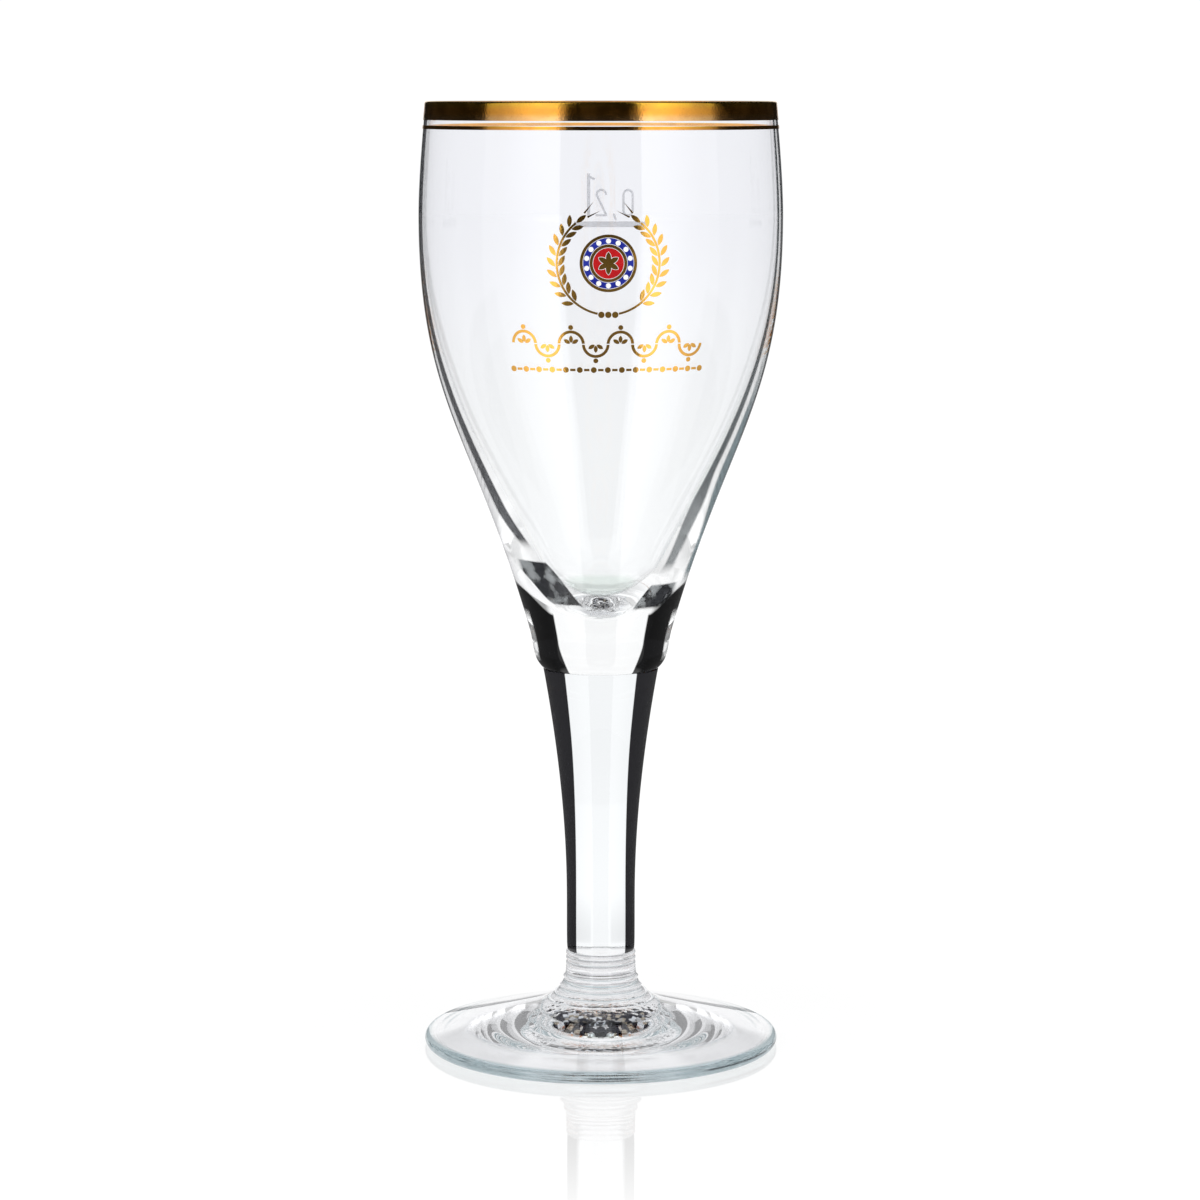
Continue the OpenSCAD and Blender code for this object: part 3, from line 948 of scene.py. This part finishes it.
@dataclass(frozen=True)
class FiredFilm:
    """A thin film fired onto the glass, mottled, with a fine grain and pinholes."""

    name: str
    worn: Colour
    wear: float
    hole_wear: float
    pinholes: float
    mottle_scale: float
    rough_by: str
    smooth: float
    rough: float
    relief: float
    metal: float = 0.0
    cover: float = 1.0
    cover_change: float = 0.3

    def base(self, graph: Graph, place: Socket) -> object:
        """The colour of the film where it isn't worn."""
        return self.worn

    def make(self) -> bpy.types.Material:
        """Builds the material.

        Returns:
            The material.
        """
        material, graph, shader = blank_material(self.name)
        place = graph.add("TexCoord").outputs["Object"]
        group_node = graph.add("Group", node_tree=print_grain())
        settings = {"Vector": place, "Mottle Scale": self.mottle_scale, "Pinholes": self.pinholes}
        graph.feed(group_node, settings)
        grain = group_node.outputs
        colour = self.base(graph, place)
        for mask, share in (("Mottle", self.wear), ("Pinholes", self.hole_wear)):
            colour = graph.mix(graph.math("MULTIPLY", grain[mask], share), colour, self.worn)
        rough = graph.math("MULTIPLY_ADD", grain[self.rough_by], self.rough - self.smooth, self.smooth)
        bump = graph.add("Bump", {"Distance": self.relief, "Height": grain["Grain"]})
        looks = {"Base Color": colour, "Metallic": self.metal, "Roughness": rough, "Normal": bump.outputs[0]}
        if self.cover < 1:
            change = self.cover_change * self.cover
            looks["Alpha"] = graph.math("MULTIPLY_ADD", grain["Mottle"], change, self.cover)
        graph.feed(shader, looks)
        return material


@dataclass(frozen=True)
class FiredGold(FiredFilm):
    """Bright gold with painted light by height: yellow at the top, redder at half height, paler at the foot.
    """

    low: float = 0.0
    high: float = 1.0
    # Painted light: tones by height that stand in for how the light falls on the gold.
    top: Colour = (1.0, 0.6, 0.06, 1)
    middle: Colour = (1.0, 0.44, 0.06, 1)
    foot: Colour = (1.0, 0.62, 0.28, 1)
    middle_from: float = 0.45
    middle_to: float = 0.55
    worn: Colour = (0.62, 0.27, 0.07, 1)
    wear: float = 0.35
    hole_wear: float = 0.6
    pinholes: float = 0.12
    mottle_scale: float = 300.0
    rough_by: str = "Mottle"
    smooth: float = 0.1
    rough: float = 0.2
    relief: float = 0.004 * MM
    metal: float = 1.0

    def base(self, graph: Graph, place: Socket) -> Socket:
        """The colour from the foot of the gold to its top, with painted light that changes by height.

        Args:
            graph: The material's tree.
            place: Place on the glass.

        Returns:
            The colour.
        """
        z = graph.add("SeparateXYZ", (place,)).outputs[2]
        span = self.high - self.low
        rise = graph.ramp(z, Ramp(self.low, self.low + self.middle_from * span))
        crown = graph.ramp(z, Ramp(self.low + self.middle_to * span, self.high))
        return graph.mix(crown, graph.mix(rise, self.foot, self.middle), self.top)


@dataclass(frozen=True)
class FiredEnamel(FiredFilm):
    """Glossy fired enamel, or the matt grey of the fill mark."""

    colour: Colour = WHITE
    worn: Colour = WHITE
    wear: float = 0.6
    hole_wear: float = 0.5
    pinholes: float = 0.1
    mottle_scale: float = 420.0
    rough_by: str = "Grain"
    smooth: float = 0.16
    rough: float = 0.3
    relief: float = 0.006 * MM

    def base(self, graph: Graph, place: Socket) -> Colour:
        """The plain colour."""
        return self.colour


# Glass


@dataclass
class Foot:
    """The pressed foot: a sloping disc, a flared neck with threads, and the hollow under it."""

    diameter: float = 76.2 * MM
    height: float = 20.5 * MM
    edge_r: float = 1.4 * MM
    edge_steps: int = 24
    rest_w: float = 1.6 * MM
    slope: float = 14.3
    neck_base_r: float = 12.9 * MM
    neck_r: float = 7.5 * MM
    thread_h: float = 3.5 * MM
    thread_count: int = 3
    thread_depth: float = 0.35 * MM
    thread_power: float = 0.7
    thread_steps: int = 10
    flare_toe: float = 14.0
    flare_handles: Handles = (0.45, 0.35)
    flare_steps: int = 40
    ring_count: int = 4
    ring_r: float = 0.3 * MM
    ring_w: float = 0.16
    ring_tilt: float = 0.3
    hollow_h: float = 3.2 * MM
    hollow_handles: Handles = (0.35, 0.4)
    hollow_steps: int = 30
    punt_r: float = 11.75 * MM
    punt_h: float = 7.2 * MM
    punt_handles: Handles = (0.3, 0.55)
    punt_steps: int = 70
    nipple_r: float = 1.8 * MM
    nipple_h: float = 0.9 * MM
    punch_r: float = 11.6 * MM
    punch_fade: float = 0.6 * MM
    punch_size: float = 1.3 * MM
    punch_depth: float = 0.26 * MM

    def threads(self) -> list[Vector]:
        """The threads under the seam, going down.

        Returns:
            The points.
        """
        toe_r = self.neck_r - self.thread_depth
        points = [Vector((0, self.height)), Vector((toe_r, self.height))]
        steps = self.thread_steps * self.thread_count
        for i in range(1, steps):
            wave = abs(math.sin(math.pi * self.thread_count * i / steps)) ** self.thread_power
            points.append(Vector((toe_r + self.thread_depth * wave, self.height - self.thread_h * i / steps)))
        return points

    def flare(self, base_at: Vector) -> list[Vector]:
        """The flared neck with its rings, down to where it meets the disc.

        Args:
            base_at: Where it meets the disc.

        Returns:
            The points.
        """
        neck_at = Vector((self.neck_r, self.height - self.thread_h))
        reach = (neck_at - base_at).length
        leave, arrive = (share * reach for share in self.flare_handles)
        toe = self.slope + self.flare_toe - 90
        points = []
        for i, point in enumerate(
            curve(neck_at, -lean(leave, 0), base_at, -lean(arrive, toe), self.flare_steps)
        ):
            place = i / self.flare_steps * (self.ring_count + 1)
            near = min(place % 1, 1 - place % 1) / self.ring_w
            ring = 0 < round(place) <= self.ring_count
            bump = self.ring_r * max(0.0, 1 - near * near) if ring else 0.0
            points.append(point + Vector((bump, bump * self.ring_tilt)))
        return points

    def hollow(self, inner_r: float) -> list[Vector]:
        """The hollow, from the ring that rests on the table up to the nipple.

        Args:
            inner_r: Inner radius of the ring that rests on the table.

        Returns:
            The points.
        """
        ring_at = Vector((self.punt_r, self.hollow_h))
        top_at = Vector((self.nipple_r, self.punt_h))
        first, last = (share * (inner_r - self.punt_r) for share in self.hollow_handles)
        leave = Vector((-first, self.hollow_h))
        points = curve(Vector((inner_r, 0)), leave, ring_at, Vector((-last, 0)), self.hollow_steps)
        rise = self.punt_handles[0] * (self.punt_h - self.hollow_h)
        across = self.punt_handles[1] * (self.punt_r - self.nipple_r)
        points += curve(ring_at, Vector((0, rise)), top_at, Vector((-across, 0)), self.punt_steps)[1:]
        return points + [Vector((0, self.punt_h + self.nipple_h))]

    def outline(self) -> list[Vector]:
        """The half outline, from the middle of the seam down to the middle of the hollow.

        Returns:
            The points (radius, height).
        """
        edge_at = Vector((self.diameter / 2 - self.edge_r, self.edge_r))
        face_at = edge_at + lean(self.edge_r, self.slope)
        rise = (face_at.x - self.neck_base_r) * math.tan(math.radians(self.slope))
        base_at = Vector((self.neck_base_r, face_at.y + rise))
        edge = arc(edge_at, self.edge_r, 90 - self.slope, -90, self.edge_steps)
        return self.threads() + self.flare(base_at) + edge + self.hollow(edge_at.x - self.rest_w)

    def punch(self, piece: bpy.types.Object) -> None:
        """Presses rough facets into the middle of the turned foot's hollow.

        Args:
            piece: The turned foot.
        """
        name = "punch"
        clear = 0.1 * MM
        roof = self.punt_h + self.nipple_h + clear
        area = piece.vertex_groups.new(name=name)
        for vertex in piece.data.vertices:
            inside = self.punch_r - vertex.co.xy.length
            if vertex.co.z < roof and inside > 0:
                area.add([vertex.index], min(1.0, inside / self.punch_fade), "REPLACE")
        texture = bpy.data.textures.new(name, "VORONOI")
        texture.noise_scale = self.punch_size
        press = piece.modifiers.new(name, "DISPLACE")
        press.texture = texture
        press.texture_coords = "LOCAL"
        press.strength = self.punch_depth
        press.vertex_group = name
        only(piece)
        bpy.ops.object.modifier_apply(modifier=name)

    def build(self) -> bpy.types.Object:
        """Turns the foot and presses the punch's facets into it.

        Returns:
            The foot.
        """
        piece = turned("pressed_foot", self.outline())
        self.punch(piece)
        return piece


@dataclass
class Stem:
    """The drawn stem."""

    base_z: float = 20.5 * MM
    height: float = 61.6 * MM
    waist_r: float = 7.35 * MM
    waist_h: float = 9.5 * MM
    toe_h: float = 1.6 * MM
    toe_r: float = 7.15 * MM
    toe_share: float = 0.35
    toe_steps: int = 14
    seam_r: float = 12.35 * MM
    flare: float = 10.3
    side_handles: Handles = (0.159, 0.53)
    side_steps: int = 70
    groove: float = 0.2 * MM
    groove_steps: int = 6

    def outline(self) -> list[Vector]:
        """The half outline, from the middle of the upper seam to the middle of the lower one.

        Returns:
            The points (radius, height).
        """
        top = Vector((self.seam_r, self.height))
        waist = Vector((self.waist_r, self.waist_h))
        side_h = self.height - self.waist_h
        side = sweep(waist, top, self.side_handles, side_h, (0, self.flare), self.side_steps)
        toe = curve(
            Vector((self.toe_r, 0)),
            Vector((self.waist_r - self.toe_r, self.toe_share * self.toe_h)),
            waist,
            Vector((0, self.waist_h - self.toe_h)),
            self.toe_steps,
        )
        slant = self.groove * (1 + math.tan(math.radians(self.flare)))
        corner_at = Vector((self.seam_r - slant, self.height - self.groove))
        corner = arc(corner_at, self.groove, 90, 0, self.groove_steps)
        points = [Vector((0, self.height))] + corner + side[::-1][1:] + toe[::-1][1:] + [Vector((0, 0))]
        return raised(points, self.base_z)

    def build(self) -> bpy.types.Object:
        """Turns the stem."""
        return turned("drawn_stem", self.outline())


@dataclass
class Bowl:
    """The blown bowl with its heavy base."""

    base_z: float = 82.1 * MM
    height: float = 120.1 * MM
    seam_r: float = 12.35 * MM
    shoulder_r: float = 15.25 * MM
    shoulder_h: float = 8.4 * MM
    shoulder_handles: Handles = (0.42, 0.48)
    shoulder_start: float = 45.0
    shoulder_steps: int = 20
    side_slope: float = 15.8
    side_handles: Handles = (0.495, 0.449)
    side_steps: int = 70
    belly_r: float = 38.5 * MM
    belly_h: float = 95.9 * MM
    rim_r: float = 36.95 * MM
    rim_lean: float = 5.4
    rim_handles: Handles = (0.264, 0.388)
    rim_steps: int = 24
    wall: float = 0.9 * MM
    lip_t: float = 0.8 * MM
    lip_steps: int = 16
    crown_steps: int = 10
    base_t: float = 12.4 * MM
    heel_r: float = 14.05 * MM
    heel_h: float = 24 * MM
    heel_handles: Handles = (0.3, 0.75)
    heel_steps: int = 36
    cup_slope: float = 28.1
    cup_handles: Handles = (0.455, 0.381)
    cup_steps: int = 60
    cup_rim_handles: Handles = (0.2, 0.38)
    groove: float = 0.2 * MM
    groove_steps: int = 4

    @property
    def lip_at(self) -> Vector:
        """The middle of the rounded lip."""
        lip_r = self.lip_t / 2
        return Vector((self.rim_r - lip_r, self.base_z + self.height - lip_r))

    @cached_property
    def outer(self) -> list[Vector]:
        """The outside of the wall, from the seam up to the lip.

        Returns:
            The points (radius, height).
        """
        seam = Vector((self.seam_r, 0))
        shoulder = Vector((self.shoulder_r, self.shoulder_h))
        belly = Vector((self.belly_r, self.belly_h))
        rim = Vector((self.rim_r, self.height - self.lip_t / 2))
        side_h = self.belly_h - self.shoulder_h
        top_h = self.height - self.belly_h
        leans = (self.shoulder_start, self.side_slope)
        points = sweep(seam, shoulder, self.shoulder_handles, self.shoulder_h, leans, self.shoulder_steps)
        points += sweep(shoulder, belly, self.side_handles, side_h, (self.side_slope, 0), self.side_steps)[1:]
        points += sweep(belly, rim, self.rim_handles, top_h, (0, -self.rim_lean), self.rim_steps)[1:]
        return raised(points, self.base_z)

    @cached_property
    def inner(self) -> list[Vector]:
        """The inside of the wall, from the middle of the cup's floor up to the lip.

        Returns:
            The points (radius, height).
        """
        floor = Vector((0, self.base_t))
        heel = Vector((self.heel_r, self.heel_h))
        belly = Vector((self.belly_r - self.wall, self.belly_h))
        rim = Vector((self.rim_r - self.lip_t, self.height - self.lip_t / 2))
        leave = self.heel_handles[0] * self.heel_r
        arrive = self.heel_handles[1] * (self.heel_h - self.base_t)
        points = curve(floor, Vector((leave, 0)), heel, lean(arrive, self.cup_slope), self.heel_steps)
        side_h = self.belly_h - self.heel_h
        top_h = self.height - self.belly_h
        points += sweep(heel, belly, self.cup_handles, side_h, (self.cup_slope, 0), self.cup_steps)[1:]
        points += sweep(belly, rim, self.cup_rim_handles, top_h, (0, -self.rim_lean), self.rim_steps)[1:]
        return raised(points, self.base_z)

    def outline(self) -> list[Vector]:
        """The half outline, from the middle of the seam over the lip to the middle of the cup's floor.

        Returns:
            The points (radius, height).
        """
        corner_at = Vector((self.seam_r - self.groove, self.base_z + self.groove))
        corner = arc(corner_at, self.groove, -90, -45, self.groove_steps)
        lip = arc(self.lip_at, self.lip_t / 2, 0, 180, self.lip_steps)
        return [Vector((0, self.base_z))] + corner + self.outer[1:] + lip[1:] + self.inner[::-1][1:]

    def radius(self, z: float) -> float:
        """Radius of the outside at a height above the table."""
        return float(np.interp(z, [point.y for point in self.outer], [point.x for point in self.outer]))

    def cup_radius(self, z: float) -> float:
        """Radius of the inside at a height above the table."""
        return float(np.interp(z, [point.y for point in self.inner], [point.x for point in self.inner]))

    def skin(self, low: float, high: float | None) -> list[Vector]:
        """The outside between two heights.

        Args:
            low: Lower height above the table.
            high: Upper height, or None to go up over the crown of the lip.

        Returns:
            The points, going upwards.
        """
        top = high if high is not None else self.outer[-1].y
        points = [Vector((self.radius(low), low))]
        points += [point for point in self.outer if low + WELD < point.y < top - WELD]
        if high is not None:
            return points + [Vector((self.radius(high), high))]
        return points + arc(self.lip_at, self.lip_t / 2, 0, 90, self.crown_steps)

    def build(self) -> bpy.types.Object:
        """Turns the bowl."""
        return turned("blown_bowl", self.outline())


# Gold and enamel


@dataclass
class GoldBand:
    """A ring of fired gold around the bowl."""

    name: str
    node: str
    low: float
    high: float | None
    sink: float = 0.04 * MM
    lift: float = 0.09 * MM

    def build(self, bowl: Bowl) -> bpy.types.Object:
        """Turns the band onto the bowl.

        Args:
            bowl: The bowl that carries it.

        Returns:
            The band.
        """
        skin = bowl.skin(self.low, self.high)
        outline = offset(skin, self.lift) + offset(skin, -self.sink)[::-1]
        return turned(self.name, outline + outline[:1])


@dataclass
class Print:
    """A fired print, taken from the frame's film and bedded on the bowl."""

    name: str
    node: str
    slot: Slot
    film_t: float = 0.12 * MM
    sink: float = 0.04 * MM
    lift: float = 0.07 * MM
    longest: float = 1.2 * MM
    rounds: int = 2

    def build(self, bowl: Bowl) -> bpy.types.Object:
        """Copies the film, refines it and lays it on the bowl.

        Args:
            bowl: The bowl that carries it.

        Returns:
            The print.
        """
        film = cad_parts[self.node]
        piece = film.copy()
        piece.data = film.data.copy()
        piece.name = self.name
        piece.data.name = self.name
        piece.data.materials.clear()
        bpy.context.collection.objects.link(piece)
        only(piece)
        bpy.ops.object.mode_set(mode="EDIT")
        bpy.ops.mesh.select_all(action="SELECT")
        bpy.ops.mesh.remove_doubles(threshold=WELD)
        bpy.ops.mesh.customdata_custom_splitnormals_clear()
        for _round in range(self.rounds):
            bpy.ops.object.mode_set(mode="OBJECT")
            self.pick_long_edges(piece)
            bpy.ops.object.mode_set(mode="EDIT")
            bpy.ops.mesh.subdivide(number_cuts=1)
            bpy.ops.mesh.select_all(action="SELECT")
            bpy.ops.mesh.quads_convert_to_tris()
        bpy.ops.object.mode_set(mode="OBJECT")
        self.bed(piece, bowl)
        bpy.ops.object.mode_set(mode="EDIT")
        bpy.ops.mesh.select_all(action="SELECT")
        bpy.ops.mesh.normals_make_consistent(inside=False)
        bpy.ops.object.mode_set(mode="OBJECT")
        bpy.ops.object.shade_smooth_by_angle(angle=SMOOTH_ANGLE)
        return piece

    def pick_long_edges(self, piece: bpy.types.Object) -> None:
        """Selects the edges that are too long to follow the bowl.

        Args:
            piece: The print, in object mode.
        """
        mesh = piece.data
        for edge in mesh.edges:
            first, second = (mesh.vertices[i].co for i in edge.vertices)
            edge.select = (first - second).length > self.longest

    def bed(self, piece: bpy.types.Object, bowl: Bowl) -> None:
        """Moves the film's outer side over the bowl's skin, and its inner side a little under it.

        Args:
            piece: The refined film.
            bowl: The bowl that carries it.
        """
        for vertex in piece.data.vertices:
            reach = vertex.co.xy.length
            skin = bowl.radius(vertex.co.z)
            wanted = skin + (self.lift if reach - skin > self.film_t / 2 else -self.sink)
            vertex.co.x *= wanted / reach
            vertex.co.y *= wanted / reach


# Studio


@dataclass(frozen=True)
class Lamp:
    """A large soft lamp for the enamel and the table's shadow."""

    name: str
    at: tuple[float, float, float]
    power: float
    size: float = 0.5
    aim: tuple[float, float, float] = (0, 0, 0.12)

    def hang(self) -> None:
        """Hangs the lamp, out of sight of the camera and the glass."""
        data = bpy.data.lights.new(self.name, "AREA")
        data.energy = self.power
        data.size = self.size
        lamp = bpy.data.objects.new(self.name, data)
        lamp.location = self.at
        aim = Vector(self.aim) - Vector(self.at)
        lamp.rotation_euler = aim.to_track_quat("-Z", "Y").to_euler()
        lamp.visible_camera = False
        lamp.visible_glossy = False
        lamp.visible_transmission = False
        bpy.context.collection.objects.link(lamp)


@dataclass(frozen=True)
class Studio:
    """The table, the light and the camera.

    The cards and boxes stand about the glass. Their ramps read the direction in degrees from straight behind
    the glass. Those of the ceiling and the belt read degrees over the horizon, and those of the table read
    metres from the glass.
    """

    lens: float = 114.51
    sensor: float = 36.0
    pitch: float = 7.596
    camera_at: tuple[float, float, float] = (-0.17 * MM, -0.8088, 0.2044)
    clip: tuple[float, float] = (0.01, 30.0)
    dim: float = 0.008
    boxes: Ramp = Ramp(101, 150, 0.45, 1.35)
    boxes_from: Ramp = Ramp(100.5, 101.5)
    boxes_to: Ramp = Ramp(153.5, 155.5, 1, 0)
    gloss_card: Ramp = Ramp(11, 13, 1, 0)
    through_card: Ramp = Ramp(29, 35, 1, 0.34)
    belt: Ramp = Ramp(9, 11, 1, 0)
    through_ceiling: Ramp = Ramp(50, 60, 1, 0.6)
    gloss_ceiling: Ramp = Ramp(50, 60, 1, 0.02)
    table_bright: Ramp = Ramp(0.06, 0.08, 1, 0)
    table_mirror: Ramp = Ramp(0.06, 0.17, 0.3, 0.0)
    table_size: float = 12.0
    table_gain: float = 1.03
    table_through: float = 1.0
    table_matt: float = 0.1
    table_grey: Colour = (0.8, 0.8, 0.8, 1)
    table_rough: float = 0.02
    plain: float = 0.85
    backdrop: float = 1.05
    lamps: tuple[Lamp, ...] = (
        Lamp("lamp_left", (-0.7, -0.6, 0.8), 9.0),
        Lamp("lamp_right", (0.8, -0.5, 0.7), 6.0),
    )

    def camera(self) -> None:
        """Sets up the camera at the photograph's angle."""
        data = bpy.data.cameras.new("camera")
        data.lens = self.lens
        data.sensor_width = self.sensor
        data.clip_start, data.clip_end = self.clip
        camera = bpy.data.objects.new("camera", data)
        camera.location = self.camera_at
        camera.rotation_euler = (math.radians(90 - self.pitch), 0, 0)
        bpy.context.collection.objects.link(camera)
        bpy.context.scene.camera = camera

    def about(self, graph: Graph, across: Socket, along: Socket, card: Ramp) -> Socket:
        """The light about the glass: the nearly dark room, the two softboxes in front and the card behind.

        Args:
            graph: The tree that reads it.
            across: How far to the right the direction leads.
            along: How far to the back it leads.
            card: Light of the card.

        Returns:
            The light.
        """
        swing = graph.math("DEGREES", graph.math("ABSOLUTE", graph.math("ARCTAN2", across, along)))
        ramps = (self.boxes_from, self.boxes_to, self.boxes)
        boxes = graph.times(*(graph.ramp(swing, ramp) for ramp in ramps))
        return graph.math("ADD", graph.math("ADD", boxes, self.dim), graph.ramp(swing, card))

    def seen(self, graph: Graph, through: object, gloss: Socket) -> Socket:
        """Picks the light for each kind of ray.

        Args:
            graph: The tree that reads it.
            through: Light seen through solid glass.
            gloss: Light seen in a reflection.

        Returns:
            The light: white for the camera and through thin walls.
        """
        rays = graph.add("LightPath").outputs
        light: object = self.plain
        for ray, value in (
            ("Is Glossy Ray", gloss),
            ("Is Transmission Ray", through),
            ("Is Camera Ray", self.backdrop),
        ):
            light = graph.add("Mix", {0: rays[ray], 2: light, 3: value}, data_type="FLOAT").outputs[0]
        return light

    def room(self) -> None:
        """Sets up the room: white in the picture, with cards and softboxes for the glass and the gold."""
        world = bpy.data.worlds.new("room")
        bpy.context.scene.world = world
        world.use_nodes = True
        graph = Graph(world.node_tree)
        graph.tree.nodes.clear()
        x, y, z = graph.add("SeparateXYZ", (graph.add("TexCoord").outputs["Generated"],)).outputs
        rise = graph.math("DEGREES", graph.math("ARCSINE", z))
        through = self.about(graph, x, y, self.through_card)
        through = graph.times(through, graph.ramp(rise, self.through_ceiling))
        through = graph.math("MAXIMUM", through, graph.ramp(rise, self.belt))
        gloss = graph.times(self.about(graph, x, y, self.gloss_card), graph.ramp(rise, self.gloss_ceiling))
        light = {"Color": WHITE, "Strength": self.seen(graph, through, gloss)}
        background = graph.add("Background", light)
        graph.add("OutputWorld", {"Surface": background.outputs[0]})

    def table(self) -> None:
        """Lays the glossy white table."""
        bpy.ops.object.select_all(action="DESELECT")
        bpy.ops.mesh.primitive_plane_add(size=self.table_size)
        table = bpy.context.object
        table.name = "studio_table"
        material = bpy.data.materials.new("table_white")
        material.use_nodes = True
        graph = Graph(material.node_tree)
        graph.tree.nodes.clear()
        place = graph.add("TexCoord").outputs["Object"]
        x, y, _z = graph.add("SeparateXYZ", (place,)).outputs
        away = graph.vector("LENGTH", place)["Value"]
        gloss = self.about(graph, x, y, self.gloss_card)
        gloss = graph.math("MAXIMUM", gloss, graph.ramp(away, self.table_bright))
        level = graph.times(self.seen(graph, self.table_through, gloss), self.table_gain)
        glow = graph.add("Emission", {"Color": WHITE, "Strength": level})
        matt = graph.add("BsdfDiffuse", {"Color": self.table_grey})
        sheen = graph.add("BsdfGlossy", {"Roughness": self.table_rough})
        shaded = graph.add("MixShader", (self.table_matt, glow.outputs[0], matt.outputs[0]))
        mirror = graph.ramp(away, self.table_mirror)
        mixed = graph.add("MixShader", (mirror, shaded.outputs[0], sheen.outputs[0]))
        graph.add("OutputMaterial", {"Surface": mixed.outputs[0]})
        table.data.materials.append(material)

    def build(self) -> None:
        """Sets up the camera, the room, the table and the lamps."""
        self.camera()
        self.room()
        self.table()
        for lamp in self.lamps:
            lamp.hang()


# Assembly


def enter(piece: bpy.types.Object, node: str) -> None:
    """Ties a finished piece to its body, hides the frame's node that it stands for, and reports it.

    Args:
        piece: The piece.
        node: Node of the frame that it stands for.
    """
    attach(piece, BODY)
    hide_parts(node)
    LOG.info("%s: %d faces", piece.name, len(piece.data.polygons))


def build_glass(bowl: Bowl) -> None:
    """Builds and dresses the foot, the stem and the bowl.

    Args:
        bowl: The bowl's sizes.
    """
    seam = FusedSeam().make()
    stem = Stem()
    for node, part, finish in (
        ("foot", Foot(), FootGlass("foot_glass")),
        ("stem", stem, StemGlass("stem_glass")),
        ("bowl", bowl, BowlGlass("bowl_glass", bowl=bowl)),
    ):
        piece = part.build()
        piece.data.materials.append(finish.make())
        piece.data.materials.append(seam)
        seam_faces(piece, [stem.base_z, bowl.base_z])
        enter(piece, node)


def build_bands(bowl: Bowl) -> None:
    """Fires the wide gold band and the hairline under it onto the bowl.

    Args:
        bowl: The bowl that carries them.
    """
    lip = bowl.base_z + bowl.height
    band_low = lip - BAND_H
    line_high = band_low - BAND_GAP
    line_low = line_high - HAIRLINE_H
    for band, top in (
        (GoldBand("rim_gold", "rim_gold_band", band_low, None), lip),
        (GoldBand("hairline_gold", "hairline_gold_band", line_low, line_high), line_high),
    ):
        piece = band.build(bowl)
        piece.data.materials.append(FiredGold(band.name, low=band.low, high=top).make())
        enter(piece, band.node)


def build_prints(bowl: Bowl) -> None:
    """Fires the ornament and the fill mark onto the bowl.

    Args:
        bowl: The bowl that carries them.
    """
    # The print's gold also takes painted tones by height.
    gold = FiredGold(
        "print_gold", low=140 * MM, high=200 * MM, foot=(1.0, 0.55, 0.12, 1), middle=(1.0, 0.58, 0.12, 1)
    )
    blue = FiredEnamel("blue_enamel", colour=(0.006, 0.011, 0.2, 1), worn=(0.02, 0.035, 0.3, 1))
    red = FiredEnamel("red_enamel", colour=(0.34, 0.002, 0.004, 1), worn=(0.46, 0.006, 0.008, 1))
    white = FiredEnamel("white_enamel", colour=(0.85, 0.84, 0.8, 1), worn=(0.75, 0.74, 0.7, 1))
    mark = FiredEnamel(
        "fill_mark",
        colour=(0.62, 0.63, 0.66, 1),
        worn=(0.72, 0.73, 0.76, 1),
        smooth=0.5,
        rough=0.7,
        cover=0.4,
    )
    finishes = {Slot.GOLD: gold, Slot.BLUE: blue, Slot.RED: red, Slot.WHITE: white, Slot.MARK: mark}
    paints = {slot: finish.make() for slot, finish in finishes.items()}
    for motif in (
        Print("medallion_rings", "medallion_gold", Slot.GOLD),
        Print("medallion_blue_ring", "medallion_blue", Slot.BLUE),
        Print("medallion_red_field", "medallion_red", Slot.RED),
        Print("medallion_pearl_ring", "medallion_pearls", Slot.WHITE),
        Print("barley_ears", "barley_wreath", Slot.GOLD),
        Print("scrolls", "scroll_garland", Slot.GOLD),
        Print("beads", "bead_row", Slot.GOLD),
        Print("fill_mark_line", "fill_line", Slot.MARK),
        Print("fill_mark_numerals", "fill_numerals", Slot.MARK),
    ):
        piece = motif.build(bowl)
        piece.data.materials.append(paints[motif.slot])
        enter(piece, motif.node)


def main() -> None:
    """Builds the glass and its studio."""
    logging.basicConfig(level=logging.INFO, format="%(name)s: %(message)s")
    scene = bpy.context.scene
    scene.view_settings.view_transform = "Standard"
    scene.cycles.max_bounces = BOUNCES
    scene.cycles.transmission_bounces = BOUNCES
    scene.cycles.glossy_bounces = BOUNCES
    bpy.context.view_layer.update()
    bowl = Bowl()
    build_glass(bowl)
    build_bands(bowl)
    build_prints(bowl)
    Studio().build()


if __name__ == "__main__":
    main()
